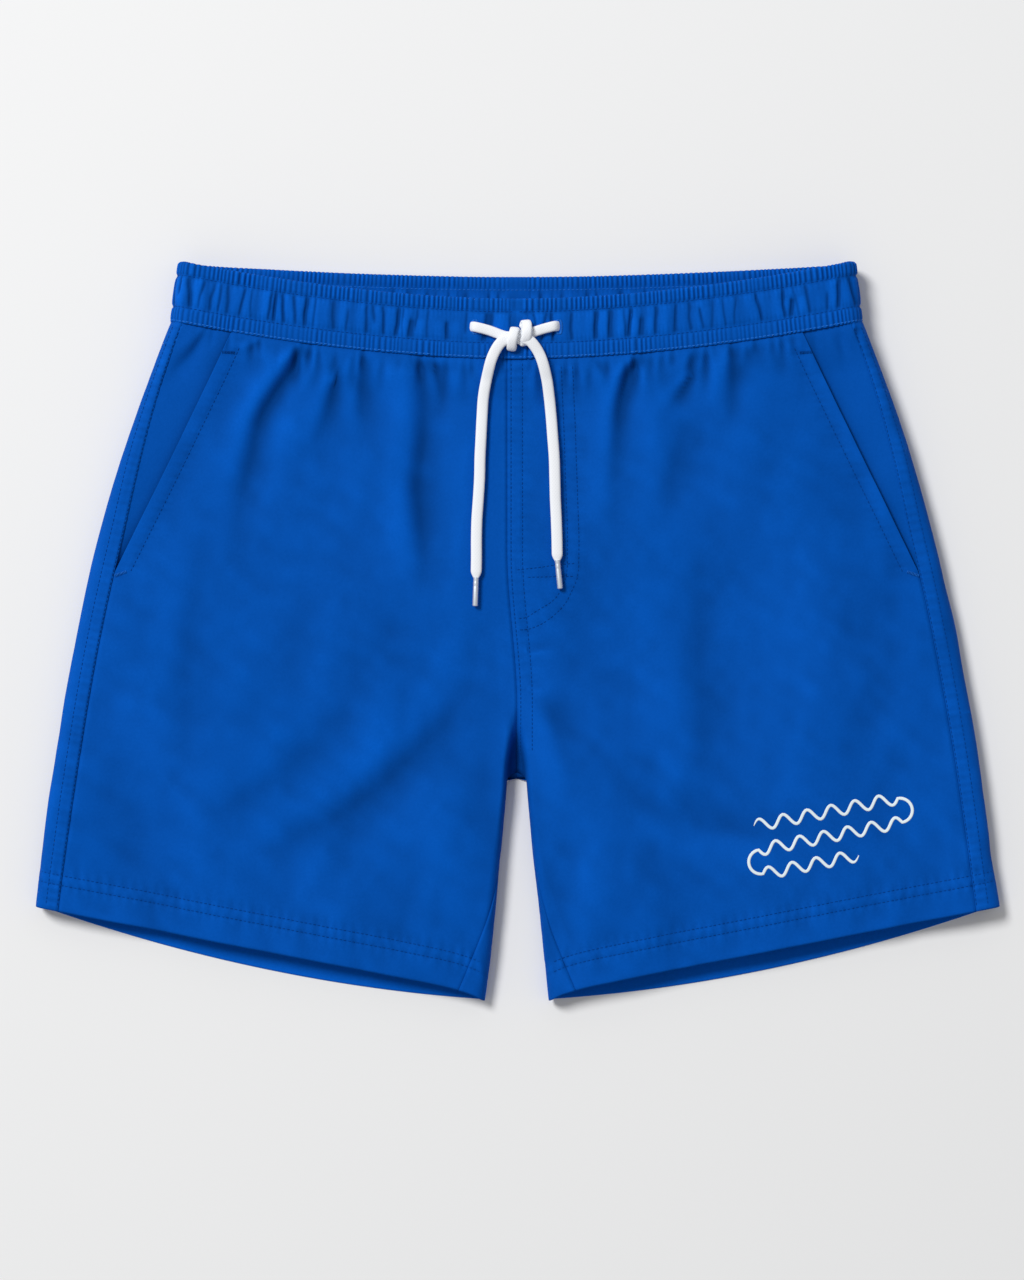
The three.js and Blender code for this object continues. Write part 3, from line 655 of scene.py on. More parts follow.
def new_group(name, inputs, outputs):
    tree = bpy.data.node_groups.new(name, "ShaderNodeTree")
    for label, kind in inputs:
        tree.interface.new_socket(name=label, in_out="INPUT", socket_type=f"NodeSocket{kind}")
    for label, kind in outputs:
        tree.interface.new_socket(name=label, in_out="OUTPUT", socket_type=f"NodeSocket{kind}")
    source = tree.nodes.new("NodeGroupInput")
    sink = tree.nodes.new("NodeGroupOutput")
    return tree, source.outputs, sink.inputs


DEEP_SHADE = 0.5  # painted shade: the cloth's colour multiplied down to this in a crease
RIDGE_HIGHLIGHT = 1.2  # painted highlight: and up to this along a ridge


def weave_group():
    """Plain weave along a piece's own threads: colour, roughness and height, the colour with painted shade in
    the creases and painted highlight on the ridges.
    """
    inputs = [("Threads", "Vector"), ("Place", "Vector"), ("Pitch", "Float"), ("Base", "Color"),
              ("Worn", "Color"), ("Patchiness", "Float"), ("PaintedShading", "Float")]
    outputs = [("Color", "Color"), ("Roughness", "Float"), ("Height", "Float")]
    tree, given, made = new_group("plain_weave", inputs, outputs)
    threads = add_node(tree, "ShaderNodeSeparateXYZ", [("Vector", given["Threads"])]).outputs
    turn = sum_of(tree, "DIVIDE", 2 * math.pi, given["Pitch"])
    slub = noise(tree, given["Threads"], 420.0)
    shift = sum_of(tree, "MULTIPLY", slub, 1.6)
    warp = sum_of(tree, "SINE", sum_of(tree, "MULTIPLY_ADD", threads["X"], turn, shift), 0.0)
    weft = sum_of(tree, "SINE", sum_of(tree, "MULTIPLY_ADD", threads["Y"], turn, shift), 0.0)
    cross = sum_of(tree, "MULTIPLY", warp, weft)
    height = sum_of(tree, "MULTIPLY_ADD", cross, 0.5, sum_of(tree, "MULTIPLY", slub, 0.6))
    tree.links.new(height, made["Height"])
    broad = noise(tree, given["Place"], 9.0, 3.0)
    fine = noise(tree, given["Place"], 700.0)
    both = sum_of(tree, "ADD", sum_of(tree, "MULTIPLY", broad, 0.55), sum_of(tree, "MULTIPLY", fine, 0.45))
    threadwise = sum_of(tree, "MULTIPLY_ADD", cross, 0.12, both)
    mask = add_node(tree, "ShaderNodeMapRange", [("Value", threadwise), ("From Min", 0.3), ("From Max", 0.7)])
    share = sum_of(tree, "MULTIPLY", mask.outputs["Result"], given["Patchiness"])
    mix = add_node(tree, "ShaderNodeMix", data_type="RGBA")
    tree.links.new(share, mix.inputs["Factor"])
    tree.links.new(given["Base"], mix.inputs["A"])
    tree.links.new(given["Worn"], mix.inputs["B"])
    # painted shading: the colour multiplied by a painted shade in the creases and a painted highlight on the
    # ridges
    painted_tone = add_node(tree, "ShaderNodeMapRange", [("Value", given["PaintedShading"]), ("From Min", -1.0),
                                                   ("To Min", DEEP_SHADE), ("To Max", RIDGE_HIGHLIGHT)])
    tone = add_node(tree, "ShaderNodeMix", [("Factor", 1.0)], data_type="RGBA", blend_type="MULTIPLY")
    tree.links.new(mix.outputs["Result"], tone.inputs["A"])
    tree.links.new(painted_tone.outputs["Result"], tone.inputs["B"])
    tree.links.new(tone.outputs["Result"], made["Color"])
    rough = add_node(tree, "ShaderNodeMapRange", [("Value", threadwise), ("To Min", 0.64), ("To Max", 0.82)])
    tree.links.new(rough.outputs["Result"], made["Roughness"])
    return tree


def braid_group():
    """The fine crossing threads of a braid or a twisted yarn."""
    tree, given, made = new_group("braid", [("Round", "Vector"), ("Turns", "Float"), ("Pitch", "Float")],
                                  [("Height", "Float"), ("Shade", "Float")])
    at = add_node(tree, "ShaderNodeSeparateXYZ", [("Vector", given["Round"])]).outputs
    across = sum_of(tree, "MULTIPLY", at["X"], sum_of(tree, "MULTIPLY", given["Turns"], 2 * math.pi))
    along = sum_of(tree, "DIVIDE", sum_of(tree, "MULTIPLY", at["Y"], 2 * math.pi), given["Pitch"])
    rising = sum_of(tree, "SINE", sum_of(tree, "ADD", across, along), 0.0)
    falling = sum_of(tree, "SINE", sum_of(tree, "SUBTRACT", across, along), 0.0)
    height = sum_of(tree, "MAXIMUM", rising, falling)
    tree.links.new(height, made["Height"])
    # painted shade: darker where the threads sink between their crossings
    shade = add_node(tree, "ShaderNodeMapRange", [("Value", height), ("From Min", -0.6), ("From Max", 0.9)])
    tree.links.new(shade.outputs["Result"], made["Shade"])
    return tree


def surface(name, roughness=0.7, metallic=0.0, specular=0.3, **more):
    """A material with its shader, ready for its colour and bump."""
    material = bpy.data.materials.new(name)
    material.use_nodes = True
    shader = material.node_tree.nodes["Principled BSDF"]
    shader.inputs["Roughness"].default_value = roughness
    shader.inputs["Metallic"].default_value = metallic
    shader.inputs["Specular IOR Level"].default_value = specular
    for key, value in more.items():
        shader.inputs[key.replace("_", " ")].default_value = value
    return material, material.node_tree, shader


def two_tones(tree, shader, share, dark, light):
    """The shader's colour between two, by a share."""
    mix = add_node(tree, "ShaderNodeMix", data_type="RGBA")
    tree.links.new(share, mix.inputs["Factor"])
    mix.inputs["A"].default_value = (*dark, 1)
    mix.inputs["B"].default_value = (*light, 1)
    tree.links.new(mix.outputs["Result"], shader.inputs["Base Color"])


def darker(colour, share):
    return tuple(c * share for c in colour)


def object_place(tree):
    return tree.nodes.new("ShaderNodeTexCoord").outputs["Object"]


def bump_of(tree, shader, height, strength, distance):
    bump = add_node(tree, "ShaderNodeBump", [("Strength", strength), ("Distance", distance)])
    tree.links.new(height, bump.inputs["Height"])
    tree.links.new(bump.outputs["Normal"], shader.inputs["Normal"])


def cloth_material(name, group, base, worn, pitch, patchiness, bump, own_threads=True, **rest):
    material, tree, shader = surface(name, **rest)
    place = object_place(tree)
    threads = add_node(tree, "ShaderNodeUVMap", uv_map="lie").outputs["UV"] if own_threads else place
    weave = tree.nodes.new("ShaderNodeGroup")
    weave.node_tree = group
    tree.links.new(threads, weave.inputs["Threads"])
    tree.links.new(place, weave.inputs["Place"])
    weave.inputs["Pitch"].default_value = pitch
    weave.inputs["Base"].default_value = (*base, 1)
    weave.inputs["Worn"].default_value = (*worn, 1)
    weave.inputs["Patchiness"].default_value = patchiness
    # the painted shading attribute, which darkens the creases and lightens the ridges
    painted_shading = add_node(tree, "ShaderNodeAttribute", attribute_name="painted_shading")
    tree.links.new(painted_shading.outputs["Fac"], weave.inputs["PaintedShading"])
    tree.links.new(weave.outputs["Color"], shader.inputs["Base Color"])
    tree.links.new(weave.outputs["Roughness"], shader.inputs["Roughness"])
    bump_of(tree, shader, weave.outputs["Height"], bump, 0.12 * MM)
    return material


def braid_material(name, group, base, shade, turns, pitch, bump, own_lie=True, **rest):
    material, tree, shader = surface(name, **rest)
    if own_lie:
        place = add_node(tree, "ShaderNodeUVMap", uv_map="lie").outputs["UV"]
    else:
        place = object_place(tree)
    braid = tree.nodes.new("ShaderNodeGroup")
    braid.node_tree = group
    tree.links.new(place, braid.inputs["Round"])
    braid.inputs["Turns"].default_value = turns
    braid.inputs["Pitch"].default_value = pitch
    two_tones(tree, shader, braid.outputs["Shade"], shade, base)
    bump_of(tree, shader, braid.outputs["Height"], bump, 0.1 * MM)
    return material


def brushed_metal(colour):
    """Satin metal with fine marks along it."""
    material, tree, shader = surface("satin_tip_metal", roughness=0.4, metallic=0.65, specular=0.5)
    place = object_place(tree)
    long = add_node(tree, "ShaderNodeMapping", [("Vector", place), ("Scale", (5200.0, 160.0, 5200.0))])
    marks = noise(tree, long.outputs["Vector"], 1.0, 3.0)
    rough = add_node(tree, "ShaderNodeMapRange", [("Value", marks), ("To Min", 0.3), ("To Max", 0.52)])
    tree.links.new(rough.outputs["Result"], shader.inputs["Roughness"])
    two_tones(tree, shader, marks, darker(colour, 0.78), colour)
    bump_of(tree, shader, marks, 0.12, 0.05 * MM)
    return material


def print_material(colour):
    """A thin matt print with a fine grain of its own."""
    material, tree, shader = surface("leg_print_ink", roughness=0.55, specular=0.35)
    grain = noise(tree, object_place(tree), 1400.0)
    two_tones(tree, shader, grain, darker(colour, 0.86), colour)
    bump_of(tree, shader, grain, 0.2, 0.06 * MM)
    return material


def floor_material(colour):
    material, tree, shader = surface("pale_table", roughness=0.85, specular=0.1)
    grain = noise(tree, object_place(tree), 3.0)
    two_tones(tree, shader, grain, darker(colour, 0.99), colour)
    return material


MATERIALS = {}


def material(name):
    """The finish of that name, built with all the others when it is first asked for."""
    if not MATERIALS:
        build_materials(bpy.context.scene.shorts_finish)
    return MATERIALS[name]


def build_materials(finish):
    weave, braid = weave_group(), braid_group()
    blue = tuple(finish.cloth_colour)
    worn = tuple(min(1, c * 1.2 + 0.002) for c in blue)
    MATERIALS["shell"] = cloth_material(
        "woven_shell", weave, blue, worn, finish.thread_pitch, 0.9, 0.35, specular=0.03)
    MATERIALS["pocketing"] = cloth_material(
        "woven_pocketing", weave, darker(blue, 0.82), blue, 0.5 * MM, 0.6, 0.35, specular=0.05)
    MATERIALS["thread"] = braid_material(
        "sewing_thread", braid, tuple(finish.thread_colour), blue, 900.0, 0.5 * MM, 0.3,
        own_lie=False, roughness=0.6, specular=0.12)
    # painted shade: a darker, shaded copy of the sewing thread, for the rows sewn with it
    MATERIALS["shaded_thread"] = braid_material(
        "shaded_sewing_thread", braid, darker(blue, 0.62), darker(blue, 0.4), 900.0, 0.5 * MM, 0.3,
        own_lie=False, roughness=0.6, specular=0.05)
    cord = tuple(finish.cord_colour)
    MATERIALS["cord"] = braid_material(
        "braided_cord", braid, cord, darker(cord, 0.95), 14.0, 2.2 * MM, 0.2,
        roughness=0.82, specular=0.2, Sheen_Weight=0.1, Sheen_Roughness=0.5)
    MATERIALS["elastic"] = braid_material(
        "elastic_knit", braid, (0.78, 0.78, 0.75), (0.6, 0.6, 0.58), 420.0, 1.4 * MM, 0.5,
        roughness=0.88, specular=0.2)
    MATERIALS["metal"] = brushed_metal(tuple(finish.tip_colour))
    MATERIALS["ink"] = print_material(tuple(finish.print_colour))
    MATERIALS["floor"] = floor_material(tuple(finish.floor_colour))


# ---- Stage -------------------------------------------------------------------------------------

VIEW_MIDDLE = (-3 * MM, -5 * MM)
VIEW_TALL = 794 * MM
FILM = 36.0
LENS = 85.0
TABLE_SIZE = 30
KEY_PLACE = (-2.95, 2.8, 4.7)
KEY_SIZE = 2.1


def area_light(name, place, size, power):
    lamp = bpy.data.lights.new(name, "AREA")
    lamp.shape = "DISK"
    lamp.size = size
    lamp.energy = power
    obj = bpy.data.objects.new(name, lamp)
    obj.location = place
    bpy.context.scene.collection.objects.link(obj)
    obj.rotation_euler = (-obj.location).to_track_quat("-Z", "Y").to_euler()


def build_stage(finish):
    scene = bpy.context.scene
    data = bpy.data.cameras.new("overhead_camera")
    data.sensor_fit = "VERTICAL"
    data.sensor_height = FILM
    data.lens = LENS
    data.clip_end = 20
    camera = bpy.data.objects.new("overhead_camera", data)
    camera.location = (*VIEW_MIDDLE, VIEW_TALL / FILM * LENS)
    scene.collection.objects.link(camera)
    scene.camera = camera

    bpy.ops.mesh.primitive_plane_add(size=TABLE_SIZE, location=(0, 0, 0))
    floor = bpy.context.object
    floor.name = "table_top"
    floor.data.materials.append(material("floor"))

    area_light("window_light", KEY_PLACE, KEY_SIZE, finish.key_power)
    world = bpy.data.worlds.new("studio_white")
    world.use_nodes = True
    world.node_tree.nodes["Background"].inputs["Color"].default_value = (1, 1, 1, 1)
    world.node_tree.nodes["Background"].inputs["Strength"].default_value = finish.room_light
    scene.world = world
    scene.view_settings.view_transform = "Standard"


# ---- Drawcord ------------------------------------------------------------------------------------

CORD_WIDTH = 6.6 * MM
TAIL_WIDTH = 6.8 * MM
TAIL_END = (2.3 * MM, 2.2 * MM)  # width and thickness inside the tip
CORD_THICK = 3.2 * MM
KNOT_THICK = 3.0 * MM
CORD_DOWN = 18.2 * MM
CORD_REST = 1.2 * MM
TAPER = 5.5 * MM
KNOT_LIFT = 0.9 * MM  # the strands' middle lines, above the band's face
TAIL_LIFT = (1.3 * MM, 1.5 * MM)  # on the band, and more where a tail leaves the knot
CORD_STEPS = 110
TAIL_STEPS = 160

# The two strands through the knot, from their buttonholes: millimetres across, up the front,
# and above the band's face; then how far each has turned on to its edge.
LEFT_STRAND = (
    (-27.8, 186.9, -1), (-25, 186.4, 1.6), (-17, 184.3, 1.8), (-8, 181, 2), (-2, 180.2, 1.9),
    (3, 178, 1.7), (5.2, 176.2, 2.6), (5.6, 178.8, 5.6), (6.2, 183, 6.6), (6.2, 187.2, 5),
    (5.6, 189.3, 2.4), (4.6, 188, 1), (4, 184.5, 1.2),
)
RIGHT_STRAND = (
    (25.2, 187.2, -1), (22.5, 186.9, 1.6), (16, 185.2, 1.8), (9.5, 183.2, 2), (3, 182, 1.9),
    (-1, 183.5, 1.6), (-1.2, 185, 2.6), (-1.8, 183, 5), (-2.8, 178.8, 6.2), (-3.3, 174.8, 4.6),
    (-3.4, 173, 2.2), (-3, 174.5, 1), (-2.5, 177.5, 1.2),
)
# The free ends, down from the knot.
LEFT_TAIL = (
    (2.6, 179.6), (8.5, 177.2), (14.3, 168.6), (18, 156), (19.8, 144), (21.1, 131), (22, 119),
    (22.9, 107), (23.3, 94), (23.6, 82), (24.2, 69), (24.6, 57), (24.8, 47), (25.2, 37.6),
)
RIGHT_TAIL = (
    (-3, 179.2), (-9.6, 176.8), (-14.9, 168.2), (-18.3, 156), (-20.5, 144), (-21.4, 131), (-22, 119),
    (-22.6, 107), (-22.9, 94), (-23.6, 82), (-24.5, 69), (-24.8, 57), (-24.8, 45), (-25.1, 27.2),
)


def put_cord(name, path, sides, widths, thicks, body, replaces, **facts):
    verts, faces, uv = tube(path, sides, widths, thicks)
    obj = put(name, verts, faces, material("cord"), body, "cord", replaces, uv)
    turn_outward(obj)
    float(run_of(path)[-1])
    return obj


def knot_strand(name, points, turned, replaces):
    """One strand of the knot, on its edge after the share of its length that turned gives."""
    path = curve_through(np.array(points), CORD_STEPS) * MM
    path[:, 2] += BAND_HIGH.z + KNOT_LIFT
    t = np.linspace(0, 1, CORD_STEPS)
    side = smooth(t, turned - 0.12, turned + 0.08)[:, None]
    hand = -1 if points[0][0] > 0 else 1
    sides = np.array([[0, 1, 0]]) * (1 - side) + np.array([[hand * 1.0, 0.12, 0]]) * side
    ends = np.minimum(1, 0.45 + smooth(1 - t, 0, 0.06))
    widths = CORD_WIDTH * lerp(0.94, 0.9, side[:, 0]) * ends
    put_cord(name, path, sides, widths, KNOT_THICK * ends, "shorts", replaces, far_end="knot")


def tail_path(points):
    """The free end's middle line, lying just clear of the front."""
    across = curve_through(np.array(points), TAIL_STEPS) * MM
    down = points[0][1] * MM - across[:, 1]
    seat = [front_height(float(x), float(y)) for x, y in across]
    seat = np.convolve(np.pad(seat, 8, mode="edge"), np.ones(17) / 17, mode="valid")
    on_band = BAND_HIGH.z + TAIL_LIFT[0]
    top = lerp(on_band, seat, smooth(down, 10 * MM, 26 * MM))
    lift = TAIL_LIFT[1] * (1 - smooth(down, 0, 12 * MM))
    return np.column_stack([across, top + CORD_THICK / 2 + CORD_REST + lift])


def build_tail(side, points, tip):
    path = tail_path(points)
    run = run_of(path)
    left = run[-1] - run
    slim = smooth(left, 5 * MM, 5 * MM + TAPER)
    start = np.minimum(1, 0.5 + run / (4 * MM))
    widths = lerp(TAIL_END[0], TAIL_WIDTH, slim**0.55) * start
    thicks = lerp(TAIL_END[1], CORD_THICK, slim) * start
    way = np.gradient(path, axis=0)
    sides = np.stack([-way[:, 1], way[:, 0], 0 * way[:, 0]], 1)
    put_cord(f"tail_{side}", path, sides, widths, thicks, f"cord_end_{side}", [f"drawcord_tail_{side}"],
             far_end="fitting", with_pieces=[tip])


def build_cords():
    knot_strand("knot_strand_right", LEFT_STRAND, 0.52, ["drawcord_knot"])
    knot_strand("knot_strand_left", RIGHT_STRAND, 0.47, ["drawcord_knot"])
    build_tail("left", LEFT_TAIL, "tip_left")
    build_tail("right", RIGHT_TAIL, "tip_right")


# ---- Cord tips -----------------------------------------------------------------------------------

TIP_LENGTH = 17.7 * MM
TIP_RADIUS = 1.7 * MM
TIP_WALL = 0.35 * MM
TIP_GRIP = 6.4 * MM
TIP_NOSE = 0.7 * MM
TIP_CRIMPS = (2.2 * MM, 5.2 * MM)  # down from its top
CRIMP_EDGES = (-0.7 * MM, -0.3 * MM, 0.3 * MM, 0.7 * MM)
CRIMP_SQUEEZE = 0.97
TIP_SEAM = (0.08 * MM, 0.14 * MM)  # inset and depth of the line where the sheet meets
TIP_ENDS = {  # top and foot of each tip on the page
    "left": ((24.9 * MM, 44 * MM), (26.6 * MM, 26.4 * MM)),
    "right": ((-25.0 * MM, 33.4 * MM), (-25.6 * MM, 15.7 * MM)),
}


def pick(obj, test, kind="FACE"):
    """Selects what passes the test in edit mode, and nothing else."""
    bpy.ops.mesh.select_mode(type=kind)
    bpy.ops.mesh.select_all(action="DESELECT")
    shape = bmesh.from_edit_mesh(obj.data)
    for item in {"FACE": shape.faces, "EDGE": shape.edges, "VERT": shape.verts}[kind]:
        if test(item):
            item.select_set(True)
    shape.select_flush_mode()
    bmesh.update_edit_mesh(obj.data)


def build_tip(side):
    """A rolled metal tip: a bore for the cord, a seam where the sheet meets, two crimps, a soft end."""
    bpy.ops.object.select_all(action="DESELECT")
    bpy.ops.mesh.primitive_cylinder_add(vertices=32, radius=TIP_RADIUS, depth=TIP_LENGTH, location=(0, 0, 0))
    obj = bpy.context.object
    obj.name = obj.data.name = f"tip_{side}"
    top = TIP_LENGTH / 2
    bpy.ops.object.mode_set(mode="EDIT")
    pick(obj, lambda f: f.normal.z < -0.9)
    bpy.ops.mesh.bevel(offset=TIP_NOSE, segments=4, affect="EDGES")
    pick(obj, lambda f: f.normal.z > 0.9)
    bpy.ops.mesh.inset(thickness=TIP_WALL)
    bpy.ops.mesh.extrude_region_move(TRANSFORM_OT_translate={"value": (0, 0, -TIP_GRIP)})
    for height in (top - down for down in TIP_CRIMPS):
        for offset in CRIMP_EDGES:
            pick(obj, lambda v: math.hypot(v.co.x, v.co.y) > TIP_RADIUS - 0.1 * MM, "VERT")
            bpy.ops.mesh.bisect(plane_co=(0, 0, height + offset), plane_no=(0, 0, 1))
        outer = TIP_RADIUS - 0.12 * MM
        pick(obj, lambda v: abs(v.co.z - height) < CRIMP_EDGES[2] + 0.01 * MM
             and math.hypot(v.co.x, v.co.y) > outer, "VERT")
        bpy.ops.transform.resize(value=(CRIMP_SQUEEZE, CRIMP_SQUEEZE, 1), center_override=(0, 0, height))
    pick(obj, lambda f: abs(f.normal.z) < 0.2 and f.normal.x > 0.98 and f.calc_center_median().x > 1.2 * MM
         and f.calc_area() > 2e-7)
    bpy.ops.mesh.inset(thickness=TIP_SEAM[0])
    bpy.ops.transform.translate(value=(-TIP_SEAM[1], 0, 0))
    bpy.ops.object.mode_set(mode="OBJECT")
    bpy.ops.object.shade_smooth_by_angle(angle=math.radians(38))
    ends = [Vector((x, y, front_height(x, y) + TIP_RADIUS + CORD_REST)) for x, y in TIP_ENDS[side]]
    way = (ends[0] - ends[1]).normalized()
    turn = Vector((0, 0, 1)).rotation_difference(way)
    obj.rotation_mode = "QUATERNION"
    obj.rotation_quaternion = turn
    obj.location = ends[0] - way * TIP_LENGTH / 2
    bpy.ops.object.transform_apply(location=True, rotation=True, scale=True)
    obj.data.materials.append(material("metal"))
    finish_piece(obj, f"cord_end_{side}", "tip_metal", [f"drawcord_tip_{side}"])


# ---- Panels --------------------------------------------------------------------------------------

CLOTH_THICK = 0.45 * MM
HEM_TILT = 0.98  # distance square to the slanted hem, for each unit up the page
ROW_STEP = 2.6 * MM
BACK_FORK_V = CROTCH_V + 4.4 * MM / CENTRE_RUN  # the backs stay joined a little further down
TUCK = 5 * MM / CENTRE_RUN  # how far the panels run up inside the band


def hem_height(x, y):
    """Distance up from the front hem."""
    q = np.clip((np.abs(x) - HEM_GAP) / (HEM_HALF - HEM_GAP), 0, 1)
    return (y - (HEM_INNER_Y + HEM_SLANT * q + front_hem_lift(q))) * HEM_TILT


def hem_relief(x, height):
    """The turned-up hem: thicker below its stitching, dimpled along it, drawn up a little."""
    out = 0.3 * MM * (1 - smooth(height, 22 * MM, 24.5 * MM))
    for k, row in enumerate(HEM_ROWS):
        out = out + row_dimple(height - row) + ripple(x, height - row, 40 + k)
    drawn = smooth(height, -2 * MM, 10 * MM) * (1 - smooth(height, 18 * MM, 34 * MM))
    out = out + 0.3 * MM * drawn * wander(x + 0.25 * height, 9 * MM, 44)
    return out - 0.25 * MM * np.exp(-((height / (1.2 * MM)) ** 2))


def fly_relief(x, y):
    """The grooves and puckers of the fly's rows."""
    out = np.zeros(np.shape(x))
    near = (x > -30 * MM) & (x < 60 * MM) & (y > -20 * MM)
    for k, line in enumerate(FLY_OUTLINE + FLY_BARS):
        away, share = off_line(x[near], y[near], line)
        out[near] += row_dimple(away, 0.22) + 0.6 * ripple(share * 0.16, away, 60 + k)
    seam = fly_seam_line(y)
    mask = smooth(y, -45 * MM, -30 * MM)
    for k, row in enumerate(FLY_ROWS):
        away = x - seam - row
        out += (row_dimple(away, 0.22) + 0.7 * ripple(y, away, 70 + k)) * mask
    return out


def fly_seam_line(y):
    """Where the front's centre seam runs, at a height up the front."""
    v = np.clip((WAIST_Y - FRONT_DIP - y) / CENTRE_RUN, 0, 1)
    return FLY_SHIFT * (1 - smooth(v, 0.3, FORK_V))


def front_panel(side, hand):
    """The front of one leg, from its inseam to the pocket's mouth or the side seam."""
    vs = levels(-TUCK, 1, ROW_STEP, 14 * MM, 26 * MM)
    rows, uvs, ends = [], [], []
    for v in vs:
        cut = Section(v, hand * fly_seam_x(v))
        edge = pocket_mouth_x(v) if v < POCKET_MOUTH_V else side_seam_x(v)
        start = inseam(v)
        stop = cut.top_start + edge
        bend = max(cut.bend, start + NEAR_CENTRE)
        s = spread([start, start + 2 * MM, bend, stop - 12 * MM, stop - 2.4 * MM, stop], [5, 12, 124, 10, 7])
        x, z, nx, nz = cut.at(s)
        rows.append(np.stack([x, page_y(x, z, v), z, nx, nz], 1))
        uvs.append(np.stack([s, np.full(len(s), v * CENTRE_RUN)], 1))
        ends.append(np.stack([s - start, stop - s], 1))
    grid, uv, ends = np.array(rows), np.array(uvs), np.array(ends)
    x, y, z, nx, nz = (grid[..., k] for k in range(5))
    v = vs[:, None]
    level = np.clip(nz, 0, 1) ** 0.7
    page_x = hand * x
    # how deep the crotch's dive is, used only to paint shade there
    dive = smooth(loft(v) - z, 1.5 * MM, 9 * MM) * (1 - smooth(v, CROTCH_V + 0.01, CROTCH_V + 0.05))
    stand = relief(page_x, y) + hem_relief(page_x, hem_height(x, y)) * (v > 0.8) + fly_relief(page_x, y)
    apart = ends[..., 0]
    seam_sink = lerp(0.75 * MM, 0.375 * MM, smooth(v, CROTCH_V, CROTCH_V + 0.02))
    stand -= seam_sink * np.exp(-((apart / (1.1 * MM)) ** 2))
    mouth = ends[..., 1]
    open_part = smooth(v, 0.02, 0.06) * (1 - smooth(v, POCKET_MOUTH_V - 0.05, POCKET_MOUTH_V))
    hemmed = (v < POCKET_MOUTH_V) * 1.0
    stand += open_part * 1.2 * MM * np.exp(-((mouth / (6 * MM)) ** 2))
    stand += hemmed * 0.25 * MM * (1 - smooth(mouth, POCKET_HEM, POCKET_HEM + 1.5 * MM))
    stand += hemmed * row_dimple(mouth - POCKET_HEM, 0.25)
    stand += hemmed * 0.8 * ripple(uv[..., 1], mouth - POCKET_HEM, 80)
    stand -= (1 - hemmed) * 0.55 * MM * np.exp(-((mouth / (1.2 * MM)) ** 2))
    z = z + waist_rise(y, x) * np.clip(z / loft(v), 0, 1)
    points = np.stack([page_x + hand * nx * stand * level, y, z + nz * stand * level], -1)
    thick = CLOTH_THICK * (1 + 0.6 * (1 - smooth(hem_height(x, y), 22 * MM, 24 * MM)) * (v > 0.8))
    # painted shading from the relief, with painted shade down the crotch's dive
    painted_shading = np.clip(painted_shading_of(stand) - 1.1 * dive, -1, 1)
    obj = put_sheet(f"front_{side}", points, thick, material("shell"), flip=hand < 0, uv=uv,
                    painted_shading=painted_shading, replaces=[f"front_panel_{side}"])


def back_panel(side, hand):
    """The back of one leg, from the side seam on the front round to the inseam or the centre."""
    vs = np.unique(np.append(levels(-TUCK, 1, ROW_STEP, 6 * MM, 18 * MM), [BACK_FORK_V, BACK_FORK_V + 0.001]))
    rows, uvs, starts, joined = [], [], [], []
    for v in vs:
        cut = Section(v, 0.0)
        start = cut.top_start + side_seam_x(v)
        joins = CROTCH_V < v <= BACK_FORK_V
        stop = cut.whole + (cut.foot if joins else inseam(v) if v > CROTCH_V else 0)
        turn = cut.whole - cut.turn
        s = spread([start, start + 2 * MM, max(cut.roll_start, start + 3 * MM), cut.roll_end, turn, stop],
                   [5, 6, 16, 44, 12])
        x, z, nx, nz = cut.at(s)
        across = joins & (s > cut.whole)
        x, z = np.where(across, cut.foot - (s - cut.whole), x), np.where(across, 0, z)
        nx, nz = np.where(across, 0, nx), np.where(across, -1, nz)
        joined.append(across)
        rows.append(np.stack([x, page_y(x, z, v), z, nx, nz], 1))
        uvs.append(np.stack([s, np.full(len(s), v * CENTRE_RUN)], 1))
        starts.append(s - start)
    grid, uv, apart = np.array(rows), np.array(uvs), np.array(starts)
    x, y, z, nx, nz = (grid[..., k] for k in range(5))
    v = vs[:, None]
    page_x = hand * x
    level = np.clip(nz, 0, 1) ** 0.7
    stand = relief(page_x, y) * level
    outer_row = outer_side_row(v)
    stand += 0.3 * MM * (1 - smooth(apart, outer_row, outer_row + 1.2 * MM))
    stand -= 0.5 * MM * np.exp(-((apart / (0.8 * MM)) ** 2))
    stand += row_dimple(apart - SIDE_ROWS[0], 0.12, 0.6) + row_dimple(apart - outer_row, 0.25)
    stand += ripple(uv[..., 1], apart - outer_row / 2, 90 + hand)
    side_face = 1 - np.abs(nz)
    stand += side_face * (0.8 * MM * cloud(y, uv[..., 0], 34 * MM, 30 * MM, 12 + hand))
    stand += hem_relief(page_x, hem_height(x, y)) * (v > 0.8) * level
    z = z + waist_rise(y, x) * np.clip(z / loft(v), 0, 1)
    lift = np.clip(-nz, 0, 1) * np.maximum(0, cloud(page_x, y, 60 * MM, 80 * MM, 15)) * 1.2 * MM
    edge = smooth(v, 0.0, 0.08) * (1 - smooth(v, 0.94, 1.0))
    points = np.stack([page_x + hand * nx * stand, y, np.maximum(z + nz * stand, 0) + lift * edge], -1)
    # painted shading from the relief: the joined crotch strip painted in full shade, the inside of the back
    # hem painted lighter where the front hem shades it
    painted_shading = np.where(np.array(joined), -1, painted_shading_of(stand) + 0.9 * smooth(v, 0.93, 0.96) * (nz < 0))
    obj = put_sheet(f"back_{side}", points, CLOTH_THICK, material("shell"), flip=hand < 0, uv=uv,
                    painted_shading=painted_shading, replaces=[f"back_panel_{side}"])


# ---- Pockets and fly facing ------------------------------------------------------------------------

FACING_FOOT = POCKET_MOUTH_V + 0.02
BAG_FACE = 2.2 * MM


def laid_under(x, v, depth):
    """A place just under the front."""
    y = page_y(x, loft(v), v)
    return y, loft(v) + waist_rise(y, x) - depth


